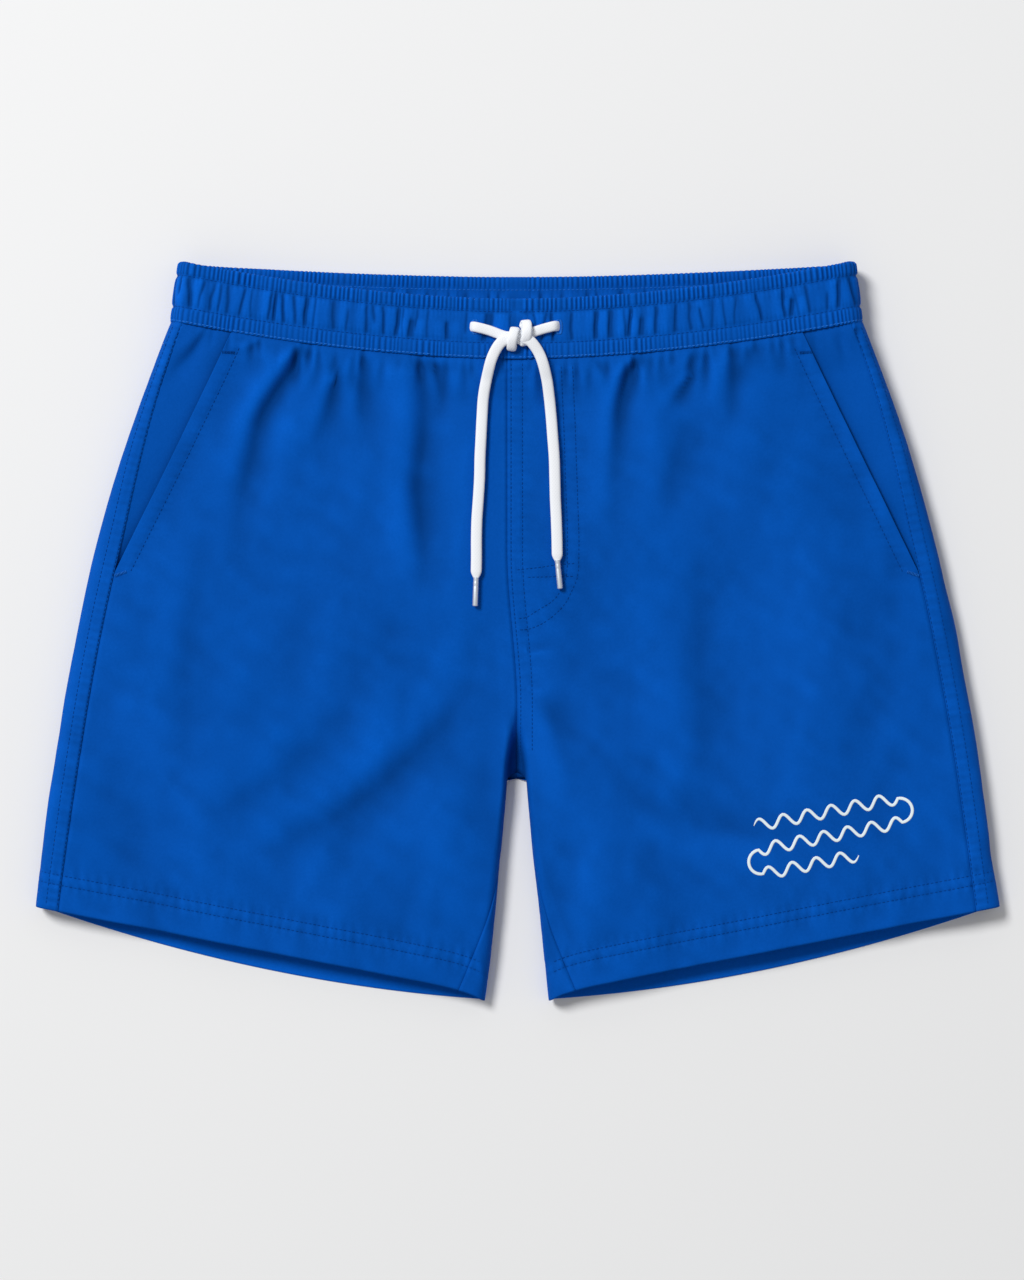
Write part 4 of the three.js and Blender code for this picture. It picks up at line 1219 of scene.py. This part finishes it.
def pocket_facing(side, hand):
    """The shell cloth seen behind the pocket's mouth."""
    vs = np.linspace(-TUCK, FACING_FOOT, 76)
    rows, uvs, painted_shades = [], [], []
    for v in vs:
        near = min(pocket_mouth_x(v), side_seam_x(v) - MM)
        far = side_seam_x(v) + 0.5 * MM
        x = spread([near - 12 * MM, near, far], [8, 24])
        y = page_y(x, loft(v), v)
        share = np.clip((far - x) / max(far - near, 1e-6), 0, 1)
        sink = lerp(0.4 * MM, 2.5 * MM, share ** 0.9) + 1.6 * MM * smooth(near - x, 0, 10 * MM)
        sink = sink * lerp(0.3, 1, float(smooth(v, 0, 0.09)))
        z = loft(v) + waist_rise(y, x) - sink + relief(hand * x, y) * 0.8
        rows.append(np.stack([hand * x, y, z], 1))
        uvs.append(np.stack([x, y], 1))
        # painted shadow along the pocket's mouth, fading away from its edge
        painted_shades.append(-0.8 * np.exp(-np.maximum(x - near, 0) / (2.6 * MM)))
    points, uv = np.array(rows), np.array(uvs)
    obj = put_sheet(f"facing_cloth_{side}", points, CLOTH_THICK, material("shell"), flip=hand < 0, uv=uv,
                    painted_shading=np.array(painted_shades), replaces=[f"pocket_facing_{side}"])


def pocket_bag(side, hand):
    """The bag, folded at its inner edge, that hangs inside the leg."""
    vs = np.linspace(0.006, POCKET_BAG_V, 60)
    rows, uvs = [], []
    for v in vs:
        foot = float(smooth(v, POCKET_MOUTH_V, POCKET_BAG_V))
        deep = lerp(8.2 * MM, 1.6 * MM, foot)
        mouth = min(pocket_mouth_x(v), side_seam_x(v) - MM) - 13.5 * MM
        fold = lerp(POCKET_TOP_X - POCKET_BAG_WIDTH, side_seam_x(v) - POCKET_BAG_WIDTH, v)
        a = np.linspace(-math.pi / 2, -1.5 * math.pi, 13)
        under = np.linspace(mouth, fold, 22)[:-1]
        x = np.concatenate([under, fold + deep / 2 * np.cos(a), under[::-1]])
        dip = np.concatenate([np.full(21, deep), deep / 2 - deep / 2 * np.sin(a), np.zeros(21)])
        y = page_y(x, loft(v), v)
        sag = 0.5 * MM * cloud(hand * x, y, 24 * MM, 30 * MM, 31)
        sag = sag + np.minimum(relief(hand * x, y), 0)
        z = np.maximum(loft(v) - BAG_FACE - 1.2 * MM - dip + sag, 1.2 * MM)
        rows.append(np.stack([hand * x, y, z], 1))
        uvs.append(np.stack([np.arange(len(x)) * 4 * MM, y], 1))
    obj = put_sheet(f"bag_cloth_{side}", np.array(rows), 0.3 * MM, material("pocketing"), flip=hand < 0,
                    uv=np.array(uvs), slot="pocket_cloth", replaces=[f"pocket_bag_{side}"])


def fly_facing():
    """The strip of cloth behind the curved stitching, its foot rounded as the stitching is."""
    length, curve = FLY_LENGTH / CENTRE_RUN, FLY_CURVE / CENTRE_RUN
    rows, uvs = [], []
    foot = length - curve * (1 - np.sin(np.linspace(0.08, 1, 16) * math.pi / 2))
    for v in np.concatenate([np.linspace(0.004, length - curve, 34), foot]):
        low = np.clip((v - (length - curve)) / curve, 0, 1)
        near = fly_seam_x(v) + MM
        x = np.linspace(near, near + lerp(3 * MM, FLY_WIDTH, math.sqrt(1 - low**2)), 18)
        y, z = laid_under(x, v, 1.7 * MM)
        rows.append(np.stack([x, y, z + relief(x, y)], 1))
        uvs.append(np.stack([x, y], 1))
    obj = put_sheet("fly_facing_cloth", np.array(rows), CLOTH_THICK, material("shell"),
                    uv=np.array(uvs), replaces=["fly_facing"])


TACK_WRAPS = 9
TACK_RUN = 7 * MM


def bar_tack(name, x, v, turn, hand, node, yarn):
    """A row of close thread wraps across the mouth's end."""
    centre = np.array([x - 4 * MM, float(page_y(np.array(x), loft(v), v))])
    way = np.array([math.cos(turn), math.sin(turn)])
    verts, faces = [], []
    for share in np.linspace(-0.5, 0.5, TACK_WRAPS):
        at = centre + way * share * TACK_RUN
        z = front_height(hand * at[0], at[1]) + 0.6 * MM
        half = np.array([-way[1], way[0]]) * 0.8 * MM
        ends = np.array([[*(at - half), z], [*at, z + 0.35 * MM], [*(at + half), z]])
        path = np.stack([lerp(ends[0], ends[1], t) * (1 - t) + lerp(ends[1], ends[2], t) * t
                         for t in np.linspace(0, 1, 7)])
        path[:, 0] *= hand
        size = np.full(7, 0.42 * MM)
        wrap, wrap_faces, _ = tube(path, np.tile([[way[0] * hand, way[1], 0]], (7, 1)), size, size, 6, 1.0)
        add_mesh(verts, faces, wrap, wrap_faces)
    obj = put(name, verts, faces, material(yarn), slot="thread", replaces=[node])
    turn_outward(obj)


def build_pockets():
    for side, hand in SIDES:
        pocket_facing(side, hand)
        pocket_bag(side, hand)
        bar_tack(f"tack_upper_{side}", pocket_mouth_x(0.035), 0.035, 0.05, hand, f"pocket_tack_upper_{side}",
                 "shaded_thread")
        bar_tack(f"tack_lower_{side}", pocket_mouth_x(POCKET_MOUTH_V), POCKET_MOUTH_V, -0.35, hand,
                 f"pocket_tack_lower_{side}", "thread")


# ---- Waistband -------------------------------------------------------------------------------------

STATIONS = 1740  # round the casing
ELASTIC_STATIONS = 1200
CHANNEL_STATIONS = 420
CHANNEL_DEPTH = 2.3 * MM
EXIT_X = 26 * MM  # centre line to each buttonhole
BAND_CLOTH = 0.6 * MM
UPPER_ROW = BAND_HEIGHT - TOP_ZONE
LOWER_ROW = FOOT_ZONE
FOOT_ROW = 1.1 * MM
RIM_ROUND = 1.2 * MM


def band_line():
    """The band's outer face seen from above its edge: x, z and length from the front centre."""
    reach, half = WAIST_HALF - BAND_ROLL, BAND_LOFT / 2
    a = np.linspace(math.pi / 2, -math.pi / 2, 160)
    right = np.stack([reach + BAND_ROLL * np.cos(a), half + half * np.sin(a)], 1)
    flat = np.linspace(0, reach, 40)[:-1]
    one = np.concatenate([np.stack([flat, np.full(39, BAND_LOFT)], 1), right,
                          np.stack([flat[::-1], np.zeros(39)], 1)])
    other = one[::-1][1:] * [-1, 1]
    line = np.concatenate([one, other])
    return line, run_of(line)


BAND_LINE, BAND_RUN = band_line()
BAND_ROUND = BAND_RUN[-1]


def band_point(s, depth, height):
    """A point that far round the band, that deep below its outer face, that high above the waist seam."""
    s = np.mod(s, BAND_ROUND)
    px, pz = (np.interp(s, BAND_RUN, BAND_LINE[:, k]) for k in (0, 1))
    e = 0.6 * MM
    tx, tz = (np.interp(np.mod(s + e, BAND_ROUND), BAND_RUN, BAND_LINE[:, k])
              - np.interp(np.mod(s - e, BAND_ROUND), BAND_RUN, BAND_LINE[:, k]) for k in (0, 1))
    n = np.maximum(np.hypot(tx, tz), 1e-9)
    tx, tz = tx / n, tz / n
    narrow = lerp(1, BAND_TOP_HALF / WAIST_HALF, height / BAND_HEIGHT)
    q = np.clip(np.abs(px) / WAIST_HALF, 0, 1)
    seam = lerp(waist_sag(q, BACK_DIP), waist_sag(q, FRONT_DIP), pz / BAND_LOFT)
    return np.stack([(px + tz * depth) * narrow, seam + height, pz - tx * depth], -1)


def band_folds():
    """The channel's uneven gathers: place, lean, depth, width and where each begins and ends."""
    draw = np.random.default_rng(31)
    out, s = [], 0.0
    while s < BAND_ROUND - 5 * MM:
        s += draw.choice([3.2, 5, 7, 9, 12, 15], p=[0.14, 0.22, 0.26, 0.18, 0.12, 0.08]) * MM
        low, high = LOWER_ROW, UPPER_ROW
        part = draw.uniform()
        if part < 0.16:
            low += draw.uniform(0.2, 0.4) * (high - low)
        elif part < 0.32:
            high -= draw.uniform(0.2, 0.4) * (high - low)
        deep = draw.uniform(1.2, 2.0) if draw.uniform() < 0.28 else draw.uniform(0.4, 1.0)
        out.append((s, draw.uniform(-0.2, 0.2), deep * MM, draw.uniform(0.55, 1.0) * MM, low, high))
    return out


BAND_FOLDS = band_folds()


def band_relief(s, h):
    """How far the band's faces stand off, at places round and up it."""
    s, h = np.broadcast_arrays(s, h)
    pitch = 2.9 * MM
    phase = 2 * math.pi * s / pitch + 3.2 * wander(s, 16 * MM, 51) + 1.4 * wander(s, 5 * MM, 52)
    rib = np.abs(np.cos(phase / 2)) ** 0.8 - 0.6
    strength = 0.95 + 0.5 * wander(s, 7 * MM, 53)
    up = np.clip((h - UPPER_ROW) / TOP_ZONE, 0, 1)
    foot = np.clip(h / LOWER_ROW, 0, 1)
    mid = np.clip((h - LOWER_ROW) / (UPPER_ROW - LOWER_ROW), 0, 1)
    in_top, in_foot = h > UPPER_ROW, h < LOWER_ROW
    top_shape = 0.55 * MM * np.sin(math.pi * np.clip(up, 0, 0.9)) ** 0.5 + 1.15 * MM * rib * strength
    foot_shape = 0.45 * MM * np.sin(math.pi * foot) ** 0.5
    foot_rib = np.abs(np.cos(phase / 2 + 1.2 * wander(s, 9 * MM, 54))) ** 0.8 - 0.6
    foot_shape = foot_shape + 0.95 * MM * foot_rib * (0.75 + 0.5 * wander(s, 11 * MM, 55))
    mid_shape = 1.1 * MM * np.sin(math.pi * mid) ** 0.45 + 0.35 * MM * wander(s, 6 * MM, 56)
    mid_shape = mid_shape + 0.22 * MM * rib * (1 - smooth(np.minimum(mid, 1 - mid), 0.05, 0.4))
    out = np.where(in_top, top_shape, np.where(in_foot, foot_shape, mid_shape))
    for at, lean, deep, wide, low, high in BAND_FOLDS:
        near = np.abs(s - at) < 9 * MM
        if not near.any():
            continue
        ss, hh = s[near], h[near]
        away = (ss - at - lean * (hh - 19 * MM) - 0.5 * MM * wander(hh, 6 * MM, int(at / MM) + 60)) / wide
        along = smooth(hh, low - 0.5 * MM, low + 2.5 * MM)
        along = along * (1 - smooth(hh, high - 2.5 * MM, high + 0.5 * MM))
        fold = np.exp(-np.abs(away) ** 1.5) + 0.3 * np.exp(-((away / 3.5) ** 2))
        out[near] = out[near] - deep * fold * along
    flat = np.maximum(np.exp(-((np.minimum(s, BAND_ROUND - s) / (4.2 * MM)) ** 6)),
                      np.exp(-(((s - BAND_ROUND / 2) / (7 * MM)) ** 6)))
    out = lerp(out, 0.35 * MM, flat * 0.9)
    for row in (UPPER_ROW, LOWER_ROW):
        out = out - 0.45 * MM * np.exp(-(((h - row) / (0.85 * MM)) ** 2))
    out = out - 0.3 * MM * np.exp(-(((h - FOOT_ROW) / (0.7 * MM)) ** 2))
    out = out + 0.35 * MM * cloud(s, h, 26 * MM, 20 * MM, 57)
    lowest, ease = -0.62 * MM, 0.3 * MM
    eased = lowest + ease * np.exp((out - lowest - ease) / ease)
    return np.where(out < lowest + ease, eased, out)


def closed_grid(points):
    """Points and faces of a grid that joins up both ways."""
    rows, cols = points.shape[:2]
    first = np.arange(rows) * cols
    ahead = np.roll(first, -1)
    seam = np.stack([first + cols - 1, ahead + cols - 1, ahead, first], 1)
    return points.reshape(-1, 3), np.concatenate([grid_faces(rows, cols, ring=True), seam])


def build_waistband():
    """The gathered casing as one closed ring, then what it holds."""
    s = np.arange(STATIONS) / STATIONS * BAND_ROUND
    painted_shadings = []
    shoulder = BAND_HEIGHT - RIM_ROUND
    outer_h = spread([0, FOOT_ROW, LOWER_ROW, UPPER_ROW, shoulder], [2, 6, 9, 6])
    outline = [("out", h, 0.0) for h in outer_h]
    for a in np.linspace(0.25, 0.75, 3) * math.pi:
        outline.append(("rim", shoulder + RIM_ROUND * math.sin(a), BAND_WALL * (1 - math.cos(a)) / 2))
    outline += [("in", h, BAND_WALL) for h in outer_h[::-2]]
    outline += [("hid", h, BAND_WALL - BAND_CLOTH) for h in (0.0, 12 * MM, 25 * MM, BAND_HEIGHT - 2 * MM)]
    outline += [("hid", h, BAND_CLOTH) for h in (BAND_HEIGHT - 2 * MM, UPPER_ROW, 18 * MM, LOWER_ROW, 0.0)]
    columns, uvs = [], []
    run = 0.0
    for kind, h, d in outline:
        stand = band_relief(s, np.full(STATIONS, h))
        depth = {"out": d - stand, "rim": d - stand * (1 - 2 * d / BAND_WALL), "in": d + stand * 0.75,
                 "hid": d + (0.5 if d > BAND_WALL / 2 else -0.8) * stand}[kind]
        height = h + (0.35 * stand if kind == "rim" else 0.0)
        columns.append(band_point(s, depth, height))
        run_in = np.cumsum(np.concatenate([[0], stand[-14:], stand, stand[:14]]))
        # painted shading of the gathers: darker in their folds, lighter on their ribs
        painted_shadings.append(np.clip((stand - (run_in[29:] - run_in[:-29]) / 29) / (0.5 * MM), -1, 1))
        uvs.append(np.stack([s, np.full(STATIONS, run)], 1))
        run += 1.6 * MM
    points = np.stack(columns, 1)
    points[..., 2] = np.maximum(points[..., 2], 0.05 * MM)
    verts, faces = closed_grid(points)
    obj = put("waistband", verts, faces, material("shell"), uv=np.stack(uvs, 1).reshape(-1, 2),
              painted_shading=np.stack(painted_shadings, 1), replaces=["waistband_casing"])
    turn_outward(obj)
    build_elastic()
    build_channel_run()
    for side, _ in SIDES:
        build_buttonhole(side)


def build_elastic():
    """The ring of elastic inside the casing, with its fine ribs."""
    face, thick = 3.15 * MM, 0.95 * MM
    heights = np.linspace(2.4 * MM, 34.4 * MM, 16)
    outline = [(face, h) for h in heights] + [(face + thick, h) for h in heights[::-1]]
    s = np.arange(ELASTIC_STATIONS) / ELASTIC_STATIONS * BAND_ROUND
    rib = 0.12 * MM * np.sin(2 * math.pi * s / (2.2 * MM))
    verts, faces = closed_grid(np.stack([band_point(s, d - rib, np.full(len(s), h)) for d, h in outline], 1))
    n = len(outline)
    uv = np.stack(np.broadcast_arrays(np.arange(n)[None, :] / n, s[:, None]), -1).reshape(-1, 2)
    obj = put("elastic", verts, faces, material("elastic"), uv=uv, slot="elastic",
              replaces=["waistband_elastic"])
    turn_outward(obj)


def build_channel_run():
    """The cord's hidden stretch, out from one buttonhole, round the back and in to the other."""
    edge = EXIT_X + 9 * MM
    s = np.linspace(edge, BAND_ROUND - edge, CHANNEL_STATIONS)
    at = lambda h: band_point(s, np.full(len(s), CHANNEL_DEPTH), np.full(len(s), h))
    path = at(BAND_HEIGHT - CORD_DOWN)
    near, far = at(14 * MM), at(24 * MM)
    t = np.linspace(0, 1, len(s))
    size = np.minimum(1, 0.5 + 12 * np.minimum(t, 1 - t))
    verts, faces, uv = tube(path, far - near, CORD_WIDTH * size, 1.2 * MM * size, 12)
    obj = put("drawcord_in_channel", verts, faces, material("cord"), uv=uv, slot="cord",
              replaces=["drawcord_channel_run"])
    turn_outward(obj)


def build_buttonhole(side):
    """A satin-stitched rim round a narrow slot."""
    low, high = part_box(f"buttonhole_{side}")
    centre = np.array([(low.x + high.x) / 2, (low.y + high.y) / 2])
    wide, tall = 2.6 * MM, 4.6 * MM
    verts, faces = [], []
    count = 60
    for k in range(count):
        a = k / count * 2 * math.pi
        inner = centre + [wide * 0.4 * np.sign(np.cos(a)) * abs(np.cos(a)) ** 0.6, tall * 0.8 * np.sin(a)]
        out = centre + [wide * np.sign(np.cos(a)) * abs(np.cos(a)) ** 0.6, tall * 1.02 * np.sin(a)]
        s = np.array([inner[0], out[0]])
        h = np.array([inner[1], out[1]]) - waist_sag(np.abs(s) / WAIST_HALF, FRONT_DIP)
        stand = band_relief(np.mod(s, BAND_ROUND), h)
        ends = np.array([[*inner, BAND_LOFT + stand[0] - 0.1 * MM], [*out, BAND_LOFT + stand[1] - 0.1 * MM]])
        t = np.linspace(0, 1, 5)[:, None]
        path = lerp(ends[0], ends[1], t)
        path[:, 2] += 0.35 * MM * np.sin(math.pi * t[:, 0])
        way = ends[1] - ends[0]
        size = np.full(5, 0.34 * MM)
        wrap, wrap_faces, _ = tube(path, np.tile([[-way[1], way[0], 0]], (5, 1)), size, size, 6, 1.0)
        add_mesh(verts, faces, wrap, wrap_faces)
    obj = put(f"buttonhole_stitches_{side}", verts, faces, material("thread"), slot="thread",
              replaces=[f"buttonhole_{side}"])
    turn_outward(obj)


# ---- Stitching ---------------------------------------------------------------------------------------

STITCH_ROUND = 6
PANEL_PITCH = 2.75 * MM
FLY_PITCH = 2.6 * MM
BAND_PITCH = 2.7 * MM
ROW_CLEAR = 0.9 * MM  # the band's rows stay this far above the table


def stitch_template():
    """One short stitch along x, sunk at its ends."""
    t = np.array([-1, -0.72, 0, 0.72, 1])
    size = np.array([0.35, 0.9, 1, 0.9, 0.35])
    sink = np.array([-0.9, -0.25, 0, -0.25, -0.9])
    a = np.arange(STITCH_ROUND) / STITCH_ROUND * 2 * math.pi
    rings = [np.stack([np.full(STITCH_ROUND, x), k * np.cos(a), k * np.sin(a) + s], 1)
             for x, k, s in zip(t, size, sink)]
    faces = []
    for r in range(len(t) - 1):
        for j in range(STITCH_ROUND):
            k = (j + 1) % STITCH_ROUND
            faces.append((r * STITCH_ROUND + j, r * STITCH_ROUND + k, (r + 1) * STITCH_ROUND + k,
                          (r + 1) * STITCH_ROUND + j))
    faces.append(tuple(range(STITCH_ROUND))[::-1])
    faces.append(tuple((len(t) - 1) * STITCH_ROUND + j for j in range(STITCH_ROUND)))
    return np.concatenate(rings), faces


def sew(name, rows, pitch, finish, share=0.7, radius=0.2 * MM):
    """Stitches along each row of points and normals, at an even pitch, as one piece."""
    base, base_faces = stitch_template()
    verts, faces = [], []
    for points, normals in rows:
        run = run_of(points)
        starts = np.arange(pitch / 2, run[-1] - pitch, pitch)
        at = lambda t: np.stack([np.interp(t, run, points[:, k]) for k in range(3)], 1)
        head, tail = at(starts), at(starts + pitch * share)
        up = np.stack([np.interp(starts, run, normals[:, k]) for k in range(3)], 1)
        way = tail - head
        long = np.linalg.norm(way, axis=1, keepdims=True)
        way /= np.maximum(long, 1e-9)
        side = np.cross(up, way)
        side /= np.maximum(np.linalg.norm(side, axis=1, keepdims=True), 1e-9)
        up = np.cross(way, side)
        middle = (head + tail) / 2 + up * radius * 0.55
        placed = (
            middle[:, None]
            + way[:, None] * base[None, :, 0:1] * long[:, None] / 2
            + side[:, None] * base[None, :, 1:2] * radius * 1.1
            + up[:, None] * base[None, :, 2:3] * radius
        )
        for stitch in placed:
            add_mesh(verts, faces, stitch, base_faces)
    put(name, verts, faces, material(finish), slot="thread")


def band_row(s, h, base, share):
    """A row round one of the band's faces, with the way that the cloth faces there."""
    h = np.full(len(s), h)
    depth = base + share * band_relief(s, h)
    row = band_point(s, depth, h)
    row[:, 2] = np.maximum(row[:, 2], ROW_CLEAR)
    away = band_point(s, depth + math.copysign(MM, share), h) - row
    return row, away / np.linalg.norm(away, axis=1, keepdims=True)


def dropped(tree, line, rise=30 * MM):
    """A line on the page dropped on to the cloth below it, with the way the cloth faces."""
    points, normals = [], []
    for x, y in line:
        hit, normal, _, _ = tree.ray_cast(Vector((x, y, rise + BAND_HIGH.z)), Vector((0, 0, -1)))
        if hit is not None:
            points.append(hit)
            normals.append(normal if normal.z > 0 else -normal)
    return np.array(points), np.array(normals)


def sew_panels(name, lines, tree, pitch):
    """Rows drawn on the page, dropped on to the panels and sewn."""
    sew(name, [dropped(tree, line) for line in lines], pitch, "shaded_thread")


def tree_of(*names):
    """The faces of those sheets, to drop lines on to."""
    verts, faces = [], []
    for name in names:
        add_mesh(verts, faces, *CLOTH[name])
    return BVHTree.FromPolygons([tuple(v) for v in verts], faces)


def page_line(x_of_v, low, high, steps, hand=1):
    """A line down the front at a place across it that changes with the level."""
    vs = np.linspace(low, high, steps)
    return np.array([(hand * x_of_v(v), float(page_y(np.array(x_of_v(v)), loft(v), v))) for v in vs])


def hem_line(hand, row):
    x = np.linspace(HEM_GAP + 2 * MM, HEM_HALF - 1.5 * MM, 230)
    q = (x - HEM_GAP) / (HEM_HALF - HEM_GAP)
    return np.stack([hand * x, HEM_INNER_Y + HEM_SLANT * q + front_hem_lift(q) + row / HEM_TILT], 1)


def build_stitching():
    for side, hand in SIDES:
        tree = tree_of(f"front_{side}", f"back_{side}")
        outer = lambda v: side_seam_x(v) + float(outer_side_row(v))
        lines = [page_line(lambda v: side_seam_x(v) + SIDE_ROWS[0], 0.005, 0.995, 260, hand),
                 page_line(outer, 0.005, 0.995, 260, hand)]
        sew_panels(f"side_seam_stitches_{side}", lines, tree, PANEL_PITCH)
        sew_panels(f"hem_stitches_{side}", [hem_line(hand, row) for row in HEM_ROWS], tree, PANEL_PITCH)
        mouth = page_line(lambda v: pocket_mouth_x(v) - POCKET_HEM / 0.9, 0.02, POCKET_MOUTH_V, 130, hand)
        sew_panels(f"pocket_stitches_{side}", [mouth], tree, PANEL_PITCH)
    tree = tree_of("front_left", "front_right")
    fly = [page_line(lambda v, r=row: fly_seam_x(v) + r, 0.004, 0.62, 200) for row in FLY_ROWS]
    sew_panels("fly_stitches", fly + FLY_OUTLINE + FLY_BARS, tree, FLY_PITCH)
    whole_round = np.linspace(0, BAND_ROUND, 2400)
    back_inside = np.linspace(BAND_ROUND * 0.25, BAND_ROUND * 0.75, 1300)
    upper, lower, foot = (band_row(whole_round, h, 0.0, -1.0) for h in (UPPER_ROW, LOWER_ROW, FOOT_ROW))
    inner = band_row(back_inside, UPPER_ROW, BAND_WALL, 0.75)
    sew("waistband_stitches", [upper, lower], BAND_PITCH, "shaded_thread")
    sew("waist_seam_topstitches", [foot], BAND_PITCH, "thread", share=0.86, radius=0.3 * MM)
    sew("waistband_inner_stitches", [inner], BAND_PITCH, "thread")


# ---- Print -------------------------------------------------------------------------------------------

PRINT_X = 193 * MM
PRINT_V = 0.83
PRINT_TURN = 0.19
PRINT_STROKE = 1.9 * MM
WAVE_PITCH = 15 * MM
WAVE_HEIGHT = 3.6 * MM
LINE_SPACE = 15 * MM
WAVES = (6, 6, 4)


def wave_line():
    """Waves across, a round turn, waves back beneath, and again: one unbroken line."""
    points, x = [], 0.0
    for line, count in enumerate(WAVES):
        way = -1 if line % 2 else 1
        base = -line * LINE_SPACE
        start = x
        for i in range(count * 16 + 1):
            rise = math.sin(i / 16 * 2 * math.pi) * WAVE_HEIGHT
            points.append((start + way * WAVE_PITCH * i / 16, base + rise))
        x = start + way * WAVE_PITCH * count
        if line < len(WAVES) - 1:
            for i in range(1, 16):
                a = i / 16 * math.pi
                radius = LINE_SPACE / 2
                points.append((x + way * radius * math.sin(a), base - radius + radius * math.cos(a)))
    return np.array(points)


def build_print():
    line = wave_line()
    line -= (line.max(0) + line.min(0)) / 2
    c, s = math.cos(PRINT_TURN), math.sin(PRINT_TURN)
    middle = [PRINT_X, float(page_y(np.array(PRINT_X), loft(PRINT_V), PRINT_V))]
    line = line @ np.array([[c, s], [-s, c]]) + middle
    way = np.gradient(line, axis=0)
    way /= np.linalg.norm(way, axis=1, keepdims=True)
    side = np.stack([-way[:, 1], way[:, 0]], 1)
    t = np.linspace(0, 1, len(line))
    wide = PRINT_STROKE / 2 * np.minimum(1, 0.3 + 40 * np.minimum(t, 1 - t))
    tree = tree_of("front_left")
    columns = []
    for k in (1, 0.5, 0, -0.5, -1):
        hits, _ = dropped(tree, line + side * (wide * k)[:, None])
        columns.append(hits + [0, 0, (0.16 if abs(k) < 1 else 0.08) * MM])
    points = np.stack(columns, 1)
    put_sheet("leg_print_ink", points, 0.12 * MM, material("ink"), flip=True, slot="print",
              replaces=["leg_print"])


# ---- Add-on --------------------------------------------------------------------------------------------


def colour_property(name, description, default):
    return bpy.props.FloatVectorProperty(
        name=name, description=description, default=default, subtype="COLOR", size=3, min=0, max=1)


class ShortsFinish(bpy.types.PropertyGroup):
    """Colours and light that a user would change."""

    cloth_colour: colour_property("Cloth", "Colour of the woven shell", (0.0, 0.085, 0.45))
    thread_colour: colour_property("Thread", "Colour of the sewing thread", (0.02, 0.19, 0.68))
    cord_colour: colour_property("Cord", "Colour of the drawcord", (0.89, 0.91, 0.95))
    # the tips' pale metal colour, its cool blue tint painted reflection
    tip_colour: colour_property("Tips", "Colour of the metal cord tips", (0.84, 0.89, 0.97))
    print_colour: colour_property("Print", "Colour of the leg print", (0.84, 0.95, 1.0))
    floor_colour: colour_property("Table", "Colour of the table top", (0.875, 0.878, 0.882))
    thread_pitch: bpy.props.FloatProperty(
        name="Thread pitch", description="Distance between threads of the weave", default=0.42 * MM,
        min=0.0001, unit="LENGTH")
    key_power: bpy.props.FloatProperty(
        name="Window light", description="Power of the large soft light", default=310.0, min=0)
    room_light: bpy.props.FloatProperty(
        name="Room light", description="Strength of the light from all round", default=0.36, min=0)


class SHORTS_OT_stage(bpy.types.Operator):
    """Set the camera, the table and the soft light"""

    bl_idname = "shorts.stage"
    bl_label = "Stage"

    def execute(self, context):
        build_stage(context.scene.shorts_finish)
        return {"FINISHED"}


class SHORTS_OT_drawcord(bpy.types.Operator):
    """Make the cord tips, the knot and the free ends of the drawcord"""

    bl_idname = "shorts.drawcord"
    bl_label = "Drawcord"

    def execute(self, context):
        build_tip("left")
        build_tip("right")
        build_cords()
        return {"FINISHED"}


class SHORTS_OT_panels(bpy.types.Operator):
    """Make the front and back panels"""

    bl_idname = "shorts.panels"
    bl_label = "Panels"

    def execute(self, context):
        for side, hand in SIDES:
            back_panel(side, hand)
            front_panel(side, hand)
        return {"FINISHED"}


class SHORTS_OT_pockets(bpy.types.Operator):
    """Make the pocket facings, bags and tacks, and the fly facing"""

    bl_idname = "shorts.pockets"
    bl_label = "Pockets and Fly"

    def execute(self, context):
        build_pockets()
        fly_facing()
        return {"FINISHED"}


class SHORTS_OT_waistband(bpy.types.Operator):
    """Make the gathered casing, its elastic, its cord and its buttonholes"""

    bl_idname = "shorts.waistband"
    bl_label = "Waistband"

    def execute(self, context):
        build_waistband()
        return {"FINISHED"}


class SHORTS_OT_stitching(bpy.types.Operator):
    """Sew every visible row of stitches"""

    bl_idname = "shorts.stitching"
    bl_label = "Stitching"

    def execute(self, context):
        build_stitching()
        return {"FINISHED"}


class SHORTS_OT_print(bpy.types.Operator):
    """Lay the printed waves on the leg"""

    bl_idname = "shorts.print"
    bl_label = "Leg Print"

    def execute(self, context):
        build_print()
        return {"FINISHED"}


OPERATORS = (
    SHORTS_OT_stage, SHORTS_OT_drawcord, SHORTS_OT_panels, SHORTS_OT_pockets, SHORTS_OT_waistband,
    SHORTS_OT_stitching, SHORTS_OT_print,
)


class SHORTS_PT_build(bpy.types.Panel):
    """Lists the steps that build the shorts"""

    bl_idname = "SHORTS_PT_build"
    bl_label = "Drawcord Shorts"
    bl_space_type = "VIEW_3D"
    bl_region_type = "UI"
    bl_category = "Shorts"

    def draw(self, context):
        finish = context.scene.shorts_finish
        for name in ShortsFinish.__annotations__:
            self.layout.prop(finish, name)
        for operator in OPERATORS:
            self.layout.operator(operator.bl_idname)


CLASSES = (ShortsFinish, *OPERATORS, SHORTS_PT_build)


def register():
    for item in CLASSES:
        bpy.utils.register_class(item)
    bpy.types.Scene.shorts_finish = bpy.props.PointerProperty(type=ShortsFinish)


def unregister():
    del bpy.types.Scene.shorts_finish
    for item in reversed(CLASSES):
        bpy.utils.unregister_class(item)


def main():
    register()
    for operator in OPERATORS:
        group, name = operator.bl_idname.split(".")
        getattr(getattr(bpy.ops, group), name)()
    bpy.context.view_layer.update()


if __name__ == "__main__":
    main()
